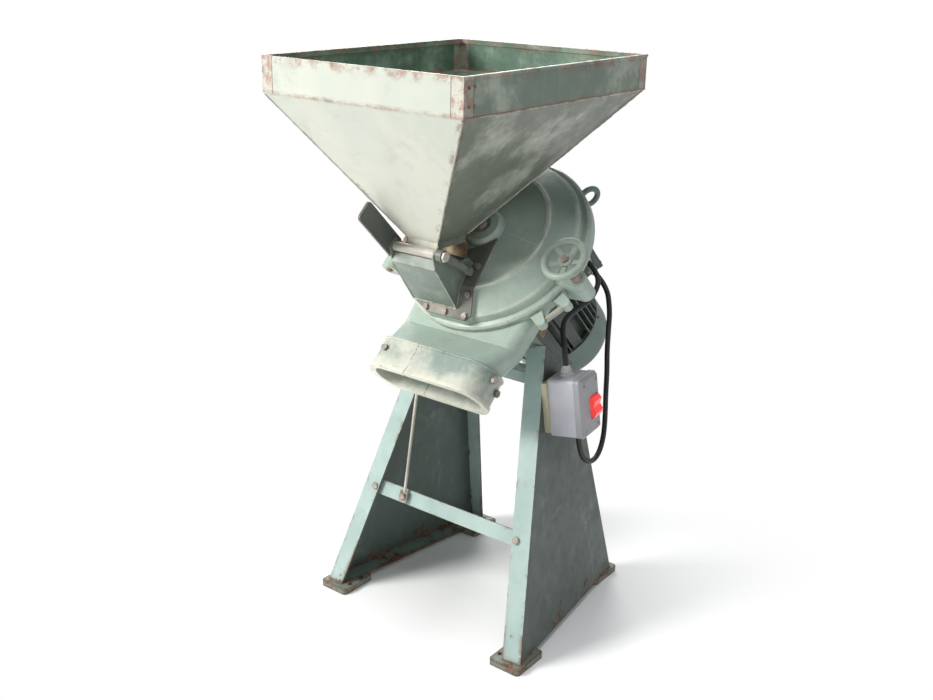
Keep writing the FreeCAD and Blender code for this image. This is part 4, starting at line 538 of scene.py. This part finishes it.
looks = {
    "hopper": worn_paint("hopper_paint", (0.275, 0.335, 0.285), (0.225, 0.295, 0.250), CREAM,
                         0.55, 0.35, 0.75, edge_radius=0.004, seed=1.0, under=hopper_tone_light_and_shade,
                         over=hopper_marks),
    "feed": worn_paint("feed_paint", (0.190, 0.225, 0.190), (0.150, 0.190, 0.160), CREAM,
                       0.4, 0.3, 0.5, seed=9.0),
    "cast": worn_paint("casting_paint", (0.405, 0.495, 0.430), (0.325, 0.410, 0.355), (0.58, 0.61, 0.52),
                       0.40, 0.1, 0.3, cast=0.8, rough=0.36, edge_radius=0.0045, seed=17.0,
                       over=cast_marks),
    "collar": worn_paint("collar_paint", (0.255, 0.325, 0.290), (0.22, 0.29, 0.26), (0.60, 0.60, 0.51),
                         0.85, 0.2, 0.5, cast=0.5, rough=0.36, edge_radius=0.005, seed=23.0,
                         over=collar_marks),
    "stand": worn_paint("stand_paint", (0.190, 0.262, 0.228), (0.150, 0.215, 0.185), (0.37, 0.44, 0.385),
                        0.22, 0.3, 0.75, low_rust=1.0, edge_radius=0.003, seed=31.0, under=stand_tone_light_and_shade),
    "motor": worn_paint("motor_paint", (0.048, 0.068, 0.056), (0.038, 0.055, 0.046), (0.22, 0.27, 0.22),
                        0.25, 0.15, 0.35, cast=0.3, edge_radius=0.002, seed=43.0),
    "cowl": worn_paint("cowl_paint", (0.120, 0.178, 0.150), (0.100, 0.152, 0.128), (0.26, 0.33, 0.28),
                       0.2, 0.25, 0.5, edge_radius=0.003, seed=47.0),
    "wheel": worn_paint("wheel_paint", (0.28, 0.35, 0.30), (0.21, 0.27, 0.23), (0.50, 0.51, 0.43),
                        0.55, 0.3, 0.4, cast=0.6, edge_radius=0.003, seed=53.0),
    "foot": worn_paint("foot_paint", (0.17, 0.22, 0.19), (0.13, 0.17, 0.15), (0.34, 0.36, 0.30),
                       0.3, 0.9, 1.0, low_rust=0.7, cast=0.4, edge_radius=0.003, seed=59.0),
    # The regulator handle's near-black tone is painted shade, with pale chips of its own.
    "dark": worn_paint("shaded_handle_paint", (0.085, 0.100, 0.088), (0.060, 0.070, 0.062), (0.26, 0.27, 0.23),
                       0.3, 0.35, 0.5, rough=0.4, seed=61.0),
    "iron": rusted_steel("worn_iron", rust=0.35),
    "pin": rusted_steel("rusty_pin", (0.22, 0.14, 0.10), (0.36, 0.27, 0.20), 0.9, 0.3, 0.6, seed=3.0),
    "painted_iron": worn_paint("painted_iron", (0.42, 0.40, 0.34), (0.33, 0.33, 0.28), (0.62, 0.57, 0.50),
                               0.8, 0.45, 0.6, edge_radius=0.002, cast=0.3, seed=67.0),
    "strip": worn_paint("strip_paint", (0.130, 0.135, 0.115), (0.105, 0.110, 0.095), (0.40, 0.36, 0.31),
                        0.65, 0.5, 0.6, edge_radius=0.002, seed=71.0),
    "arm": worn_paint("arm_paint", (0.155, 0.170, 0.150), (0.120, 0.135, 0.120), (0.40, 0.36, 0.31),
                      0.6, 0.4, 0.5, edge_radius=0.002, cast=0.3, seed=73.0),
    "eye": worn_paint("eye_paint", (0.170, 0.225, 0.195), (0.135, 0.180, 0.158), (0.34, 0.37, 0.31),
                      0.3, 0.5, 0.5, edge_radius=0.002, cast=0.4, seed=79.0),
    "steel": machined("machined_steel", (0.55, 0.55, 0.54)),
    "bearing": machined("bearing_steel", (0.62, 0.62, 0.62), 0.2, 5.0),
    "fan": machined("fan_metal", (0.60, 0.61, 0.62), 0.45, 9.0),
    "wood": timber("packing_wood"),
    "switch": moulded("switch_grey", (0.52, 0.52, 0.57), 0.42, 0.22, seed=2.0),
    "lid": moulded("switch_lid_grey", (0.33, 0.33, 0.35), 0.40, 0.25, seed=6.0),
    "spacer": moulded("spacer_beige", (0.50, 0.46, 0.32), 0.55, 0.4, seed=8.0),
    "gland": moulded("gland_grey", (0.60, 0.59, 0.56), 0.45, 0.3, seed=12.0),
    "rocker": moulded("rocker_red", (0.90, 0.050, 0.045), 0.22, 0.03, 0.05, seed=14.0),
    "weld": worn_paint("weld_paint", (0.42, 0.42, 0.35), (0.33, 0.33, 0.28), (0.55, 0.50, 0.42),
                       0.6, 0.9, 0.9, edge_radius=0.001, cast=0.6, seed=83.0),
    "rusty_weld": rusted_steel("rusty_weld", (0.16, 0.11, 0.08), (0.30, 0.24, 0.19), 0.9, 0.2, 0.7,
                               seed=87.0),
    "leather": leather("packing_leather"),
    "plate": moulded("name_plate", (0.58, 0.58, 0.55), 0.35, 0.5, 0.1, seed=91.0),
    "rubber": moulded("cable_rubber", (0.014, 0.014, 0.015), 0.42, 0.10, 0.5, seed=18.0),
}

# The rocker is clear red plastic, and its emission is a painted glow of light passing through it.
red = looks["rocker"].node_tree.nodes["Principled BSDF"]
red.inputs["Emission Color"].default_value = (1.0, 0.09, 0.08, 1)
red.inputs["Emission Strength"].default_value = 0.42

finish_of = {
    "hopper": ["hopper"],
    "feed": ["feed_box", "hopper_bracket"],
    "cast": ["mill_housing", "mill_cover", "adapter_ring"],
    "collar": ["outlet_collar"],
    "stand": ["side_panel_left", "side_panel_right", "motor_bed", "motor_rails", "cross_bar"],
    "motor": ["motor_frame", "front_end_shield", "rear_end_shield", "terminal_box", "terminal_box_lid"],
    "cowl": ["fan_cowl"],
    "wheel": ["handwheel"],
    "foot": ["foot_plates"],
    "dark": ["regulator_handle"],
    "strip": ["feed_flange"],
    "iron": ["cross_bar_bolts", "stay_rod_clamp", "feed_bolts", "flange_bolts", "motor_foot_bolts",
             "collar_bolts", "clamp_screw", "centre_screw"],
    "pin": ["hinge_pin"],
    "painted_iron": ["stay_rod", "side_rod", "regulator_shaft", "regulator_flap"],
    "arm": ["regulator_arm"],
    "eye": ["eyebolt"],
    "steel": ["motor_shaft", "rotor_core", "beater_hub", "beater_cross", "rotor_nut", "screen_ring",
              "liner_plate"],
    "bearing": ["front_bearing", "rear_bearing"],
    "fan": ["cooling_fan"],
    "wood": ["packing_block"],
    "switch": ["switch_box"],
    "lid": ["switch_lid"],
    "spacer": ["switch_spacer"],
    "gland": ["switch_glands", "terminal_glands"],
    "rocker": ["switch_rocker"],
}
for look, names in finish_of.items():
    for name in names:
        mesh = nodes[name].data
        mesh.materials.clear()
        mesh.materials.append(looks[look])


# Detail pieces, placed in millimetres of the row frame or of the tilted mill frame.
MILL = Matrix.Translation(MILL_PLACE) @ Matrix.Rotation(MILL_TURN[0], 4, "X")


def row_mm(x, y, z):
    return Vector((x, y, z)) / 1000


def mill_mm(x, y, z):
    return MILL @ (Vector((x, y, z)) / 1000)


def mill_way(x, y, z):
    return (MILL.to_3x3() @ Vector((x, y, z))).normalized()


def square_to(way):
    """Two directions at right angles to one another and to the way."""
    side = way.cross(Vector((0, 0, 1)))
    if side.length < 1e-3:
        side = way.cross(Vector((1, 0, 0)))
    side.normalize()
    return side, way.cross(side).normalized()


def add_ring(bm, centre, side, up, radius, count):
    turns = [2 * math.pi * k / count for k in range(count)]
    return [bm.verts.new(centre + side * radius * math.cos(a) + up * radius * math.sin(a)) for a in turns]


def join_rings(bm, first, second):
    count = len(first)
    for k in range(count):
        bm.faces.new((first[k], first[(k + 1) % count], second[(k + 1) % count], second[k]))


def add_drum(bm, foot, way, radius, height, count=16, crown=0.0):
    """A drum or, with six sides, a hexagon head, whose top edge is drawn in by the crown."""
    side, up = square_to(way)
    levels = [(0.0, radius), (height - crown, radius)]
    if crown:
        levels.append((height, radius - crown))
    rings = [add_ring(bm, foot + way * level, side, up, size, count) for level, size in levels]
    for lower, upper in zip(rings, rings[1:]):
        join_rings(bm, lower, upper)
    bm.faces.new(list(reversed(rings[0])))
    bm.faces.new(rings[-1])


def add_tube(bm, points, radius, count=8, ragged=0.0, closed=False):
    """A tube through the points, with a radius that wanders by the ragged share."""
    rings = []
    last = len(points) - 1
    for index, point in enumerate(points):
        before = points[index - 1] if index or closed else point
        after = points[(index + 1) % (last + 1)] if index < last or closed else point
        side, up = square_to((after - before).normalized())
        size = radius * (1 + ragged * random.uniform(-1, 1))
        rings.append(add_ring(bm, point, side, up, size, count))
    for lower, upper in zip(rings, rings[1:]):
        join_rings(bm, lower, upper)
    if closed:
        join_rings(bm, rings[-1], rings[0])
    else:
        bm.faces.new(list(reversed(rings[0])))
        bm.faces.new(rings[-1])


def add_bead(bm, start, end, radius, pitch=0.006):
    """A weld bead: an uneven tube with a ripple at every pitch."""
    steps = max(2, int((end - start).length / pitch))
    add_tube(bm, [start.lerp(end, k / steps) for k in range(steps + 1)], radius, 6, 0.32)


def put(bm, name, body, look, smooth=30.0):
    """The mesh as a piece that rides on a body, with its look."""
    bmesh.ops.recalc_face_normals(bm, faces=bm.faces)
    for face in bm.faces:
        face.smooth = True
    for edge in bm.edges:
        edge.smooth = edge.calc_face_angle(0.0) < math.radians(smooth)
    mesh = bpy.data.meshes.new(name)
    bm.to_mesh(mesh)
    bm.free()
    mesh.materials.append(looks[look])
    piece = bpy.data.objects.new(name, mesh)
    bpy.context.scene.collection.objects.link(piece)
    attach(piece, body)
    return piece


# The hopper's outer corners, in millimetres of the row frame.
KNEE, SPOUT_TOP = 1181, 885
BAND_X, BAND_Y = (-247.5, 242.5), (-404.28, 209.72)
SPOUT_X, SPOUT_Y = (-65, 14), (-187.28, -95.28)


def hopper_seams():
    """Weld beads down the funnel's corners and along the knee, and a rolled hem at the rim."""
    bm = bmesh.new()
    for i in (0, 1):
        for j in (0, 1):
            top = row_mm(BAND_X[i], BAND_Y[j], KNEE)
            low = row_mm(SPOUT_X[i], SPOUT_Y[j], SPOUT_TOP)
            add_bead(bm, top.lerp(low, 0.015), top.lerp(low, 0.99), 0.0019)
    put(bm, "hopper_corner_welds", "cover", "weld", 80)
    bm = bmesh.new()
    level = KNEE - 2
    for side in BAND_X:
        add_bead(bm, row_mm(side, BAND_Y[0] + 4, level), row_mm(side, BAND_Y[1], level), 0.0016, 0.009)
    add_bead(bm, row_mm(BAND_X[0], BAND_Y[1], level), row_mm(BAND_X[1], BAND_Y[1], level), 0.0016, 0.009)
    put(bm, "hopper_knee_welds", "cover", "weld", 80)
    bm = bmesh.new()
    rim = 1247.2
    corners = [row_mm(BAND_X[0], BAND_Y[0] + 2.6, rim), row_mm(BAND_X[0], BAND_Y[1], rim),
               row_mm(BAND_X[1], BAND_Y[1], rim), row_mm(BAND_X[1], BAND_Y[0] + 2.6, rim)]
    for start, end in zip(corners, corners[1:]):
        add_tube(bm, [start, end], 0.0026, 10)
    put(bm, "hopper_hem", "cover", "hopper", 60)
    bm = bmesh.new()
    for x, y in ((BAND_X[1], BAND_Y[0] + 14), (BAND_X[1], BAND_Y[0] + 30), (BAND_X[0], BAND_Y[1] - 16)):
        side = 1 if x > 0 else -1
        for z in (1199, 1231):
            add_drum(bm, row_mm(x - side, y, z), Vector((side, 0, 0)), 0.0034, 0.0034, 10, 0.0012)
    put(bm, "hopper_rivets", "cover", "rusty_weld", 50)


# The feed box's outer walls and the line where its flange bends, in the tilted mill frame.
FEED_LEFT, FEED_RIGHT = -98, 20
FEED_BEND_Y, FEED_BEND = -146, math.radians(30.5)


def feed_details():
    """The feed box's folded lip, its narrow top, its welds and the washers under its bolts."""
    bm = bmesh.new()
    add_tube(bm, [mill_mm(FEED_LEFT, -171.5, 357), mill_mm(FEED_RIGHT, -171.5, 357)], 0.0019, 8)
    put(bm, "feed_box_lip", "cover", "feed", 60)
    bm = bmesh.new()
    profile = [(-173.4, 358.2), (-173.4, 359.6), (-154.2, 367.4), (-153.6, 366.2)]
    sides = (FEED_LEFT + 0.5, FEED_RIGHT - 0.5)
    ends = [[bm.verts.new(mill_mm(x, y, z)) for y, z in profile] for x in sides]
    join_rings(bm, *ends)
    bm.faces.new(ends[0])
    bm.faces.new(list(reversed(ends[1])))
    put(bm, "feed_box_top", "cover", "feed", 30)
    bm = bmesh.new()
    seam = 263.6
    for x in (FEED_LEFT, FEED_RIGHT):
        front, bend = mill_mm(x, -190, 238), mill_mm(x, FEED_BEND_Y, seam)
        add_bead(bm, front, mill_mm(x, -172, 357), 0.0013)
        add_bead(bm, bend, mill_mm(x, -90, seam), 0.0014)
        add_bead(bm, front, bend, 0.0014)
    add_bead(bm, mill_mm(FEED_LEFT, -190.5, 238), mill_mm(FEED_RIGHT, -190.5, 238), 0.0015)
    put(bm, "feed_box_welds", "cover", "weld", 80)
    bm = bmesh.new()
    flange_top = 263
    for x, y in ((-105, -120), (-60, -199), (-8, -199), (44, -199), (44, -160), (38, -95)):
        sloped = y < FEED_BEND_Y
        way = mill_way(0, -math.sin(FEED_BEND), math.cos(FEED_BEND)) if sloped else mill_way(0, 0, 1)
        level = flange_top + (y - FEED_BEND_Y) * math.tan(FEED_BEND) if sloped else flange_top
        add_drum(bm, mill_mm(x, y, level), way, 0.0076, 0.0013, 20)
    put(bm, "feed_washers", "cover", "iron", 40)


def packing_cloth():
    """A creased piece of leather stuffed between the spout's bracket and the feed box, with its hook."""
    section = [(-85, 262), (-76, 272), (-60, 279), (-54, 292), (-64, 303), (-50, 314), (-36, 317),
               (-24, 300), (-30, 276), (-22, 262)]
    columns = 16
    bm = bmesh.new()
    rows = []
    for k in range(columns + 1):
        x = -101 + 100 * k / columns
        row = []
        for y, z in section:
            sway = 3.2 * math.sin(0.9 * k + 0.05 * z) + random.uniform(-1.8, 1.8)
            row.append(bm.verts.new(mill_mm(x + random.uniform(-1.5, 1.5), y + sway, z - 0.6 * abs(sway))))
        rows.append(row)
    for first, second in zip(rows, rows[1:]):
        for k in range(len(section) - 1):
            bm.faces.new((first[k], first[k + 1], second[k + 1], second[k]))
    cloth = put(bm, "packing_leather", "cover", "leather", 80)
    thick = cloth.modifiers.new("thickness", "SOLIDIFY")
    thick.thickness = 0.0024
    smooth = cloth.modifiers.new("smooth", "SUBSURF")
    smooth.levels = 1
    smooth.render_levels = 1
    bm = bmesh.new()
    bend_points = []
    for k in range(15):
        turn = math.radians(-40 + 18 * k)
        bend_points.append(mill_mm(-106, -62 + 7 * math.cos(turn), 276 + 7 * math.sin(turn)))
    add_tube(bm, bend_points, 0.0018, 8)
    add_tube(bm, [mill_mm(-106, -56.6, 271.5), mill_mm(-105, -82, 262)], 0.0020, 8)
    add_drum(bm, mill_mm(-105, -76, 263.2), mill_way(0, 0, 1), 0.0068, 0.0052, 6, 0.0008)
    put(bm, "packing_hook", "cover", "pin", 50)


def regulator_details():
    """The nuts on the two ends of the regulator's shaft."""
    bm = bmesh.new()
    lever_y, lever_z = -144.6, 373.7
    add_drum(bm, mill_mm(36, lever_y, lever_z), Vector((1, 0, 0)), 0.0115, 0.0065, 6, 0.0008)
    add_drum(bm, mill_mm(-105.9, lever_y, lever_z), Vector((-1, 0, 0)), 0.0105, 0.0035, 6, 0.0006)
    put(bm, "regulator_nuts", "regulator", "painted_iron", 30)


def motor_details():
    """A blank plate on the cowl, its screws and the terminal lid's screws."""
    bm = bmesh.new()
    rows = []
    radius, lift = 117.15, 0.9
    for level in (-204, -166):
        for out in (radius, radius + lift):
            row = []
            for k in range(11):
                turn = math.radians(150 + 2.5 * k)
                row.append(bm.verts.new(mill_mm(out * math.cos(turn), out * math.sin(turn), level)))
            rows.append(row)
    near_low, near_high, far_low, far_high = rows
    loop = (near_low, near_high, far_high, far_low)
    for first, second in zip(loop, loop[1:] + loop[:1]):
        for k in range(10):
            bm.faces.new((first[k], first[k + 1], second[k + 1], second[k]))
    for k in (0, 10):
        bm.faces.new([row[k] for row in loop])
    put(bm, "blank_plate", "stand", "plate", 30)
    bm = bmesh.new()
    for turn in (152, 173):
        for level in (-201, -169):
            a = math.radians(turn)
            out = mill_way(math.cos(a), math.sin(a), 0)
            foot = mill_mm((radius + lift) * math.cos(a), (radius + lift) * math.sin(a), level)
            add_drum(bm, foot, out, 0.0014, 0.0009, 8, 0.0004)
    cowl_seat = 116.6
    for turn in (20, 110, 200, 290):
        a = math.radians(turn)
        out = mill_way(math.cos(a), math.sin(a), 0)
        foot = mill_mm(cowl_seat * math.cos(a), cowl_seat * math.sin(a), -140)
        add_drum(bm, foot, out, 0.0042, 0.0034, 12, 0.0012)
    put(bm, "cowl_screws", "stand", "pin", 40)
    bm = bmesh.new()
    lid_turn = Matrix.Rotation(math.radians(60), 4, "Z")
    for across in (-38, 38):
        for along in (-38, 38):
            spot = lid_turn @ Vector((168, across, 0))
            way = mill_way(*(lid_turn @ Vector((1, 0, 0))))
            add_drum(bm, mill_mm(spot.x, spot.y, along + 10), way, 0.0045, 0.0026, 14, 0.001)
    put(bm, "terminal_screws", "stand", "iron", 40)


def stand_welds():
    """Beads where the side panels meet their feet, and round the collar's upper edge."""
    bm = bmesh.new()
    foot_top = 14.6
    front, rear = (281.3, -221.3), (215.3, 254.7)
    beads = [(front, (237.5, -225.1), 0.0020), (front, (270.8, -145.5), 0.0022),
             (rear, (172.5, 259.5), 0.0020), (rear, (226.0, 178.5), 0.0022)]
    for side in (-1, 1):
        for (x, y), (end_x, end_y), radius in beads:
            add_bead(bm, row_mm(side * x, y, foot_top), row_mm(side * end_x, end_y, foot_top), radius)
    put(bm, "foot_welds", "stand", "rusty_weld", 80)
    bm = bmesh.new()
    half_across, low, high, corner, middle = 149.2, 130.8, 237.2, 50.2, 12.0
    left, right = middle - half_across + corner, middle + half_across - corner
    points = []
    for x, z, start in ((right, high - corner, 0), (left, high - corner, 90),
                        (left, low + corner, 180), (right, low + corner, 270)):
        for k in range(9):
            a = math.radians(start + 90 * k / 8)
            points.append(mill_mm(x + corner * math.cos(a), -291.0, z + corner * math.sin(a)))
    add_tube(bm, points, 0.0031, 10, closed=True)
    put(bm, "collar_bead", "stand", "collar", 70)


def switch_details():
    """Screws in the lid's corners."""
    low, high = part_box("switch_lid")
    lid = nodes["switch_lid"].data
    lean = math.radians(11.09)
    rise = math.sin(lean) * math.sin(math.radians(45))
    outward = Vector((math.cos(lean), rise, rise))
    upward = (Vector((0, 0, 1)) - outward * outward.z).normalized()
    rearward = upward.cross(outward)
    reach = max(vert.co.dot(outward) for vert in lid.vertices)
    middle = (low + high) / 2
    face = middle + outward * (reach - middle.dot(outward))
    bm = bmesh.new()
    for across in (-0.030, 0.030):
        for along in (-0.051, 0.051):
            add_drum(bm, face + rearward * across + upward * along, outward, 0.0036, 0.0012, 14, 0.0005)
    put(bm, "switch_screws", "stand", "iron", 40)


hopper_seams()
feed_details()
packing_cloth()
regulator_details()
motor_details()
stand_welds()
switch_details()


# The two cables, as smooth lines through the same points as their tubes.
def cable(name, points, radius, node):
    """A cable that replaces its CAD node and rides on the stand."""
    curve = bpy.data.curves.new(name, "CURVE")
    curve.dimensions = "3D"
    spline = curve.splines.new("NURBS")
    spline.points.add(len(points) - 1)
    for place, point in zip(points, spline.points):
        point.co = (*place, 1.0)
    spline.order_u = 3
    spline.use_endpoint_u = True
    spline.resolution_u = 12
    curve.bevel_depth = radius
    curve.bevel_resolution = 5
    curve.use_fill_caps = True
    curve.materials.append(looks["rubber"])
    piece = bpy.data.objects.new(name, curve)
    bpy.context.scene.collection.objects.link(piece)
    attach(piece, "stand")
    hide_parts(node)


MOTOR_CABLE = [(0.2277, 0.0498, 0.4380), (0.2331, 0.0506, 0.3984), (0.2380, 0.0860, 0.3640),
               (0.2330, 0.1320, 0.3660), (0.2260, 0.1630, 0.3980), (0.2180, 0.1780, 0.4460),
               (0.2120, 0.1840, 0.4960), (0.2070, 0.1920, 0.5450), (0.2030, 0.1930, 0.5940),
               (0.1990, 0.2000, 0.6420), (0.1970, 0.2040, 0.6900), (0.1731, 0.2239, 0.7366),
               (0.1298, 0.2416, 0.7543)]
FEED_CABLE = [(0.2086, 0.0129, 0.6134), (0.2037, 0.0122, 0.6491), (0.1800, 0.0380, 0.6760),
              (0.1600, 0.0740, 0.6900), (0.1660, 0.1140, 0.7060), (0.1840, 0.1500, 0.7270),
              (0.1748, 0.1935, 0.7656), (0.1298, 0.2119, 0.7840)]
CABLE_RADIUS = 0.006
cable("motor_lead", MOTOR_CABLE, CABLE_RADIUS, "motor_cable")
cable("short_lead", FEED_CABLE, CABLE_RADIUS, "feed_cable")
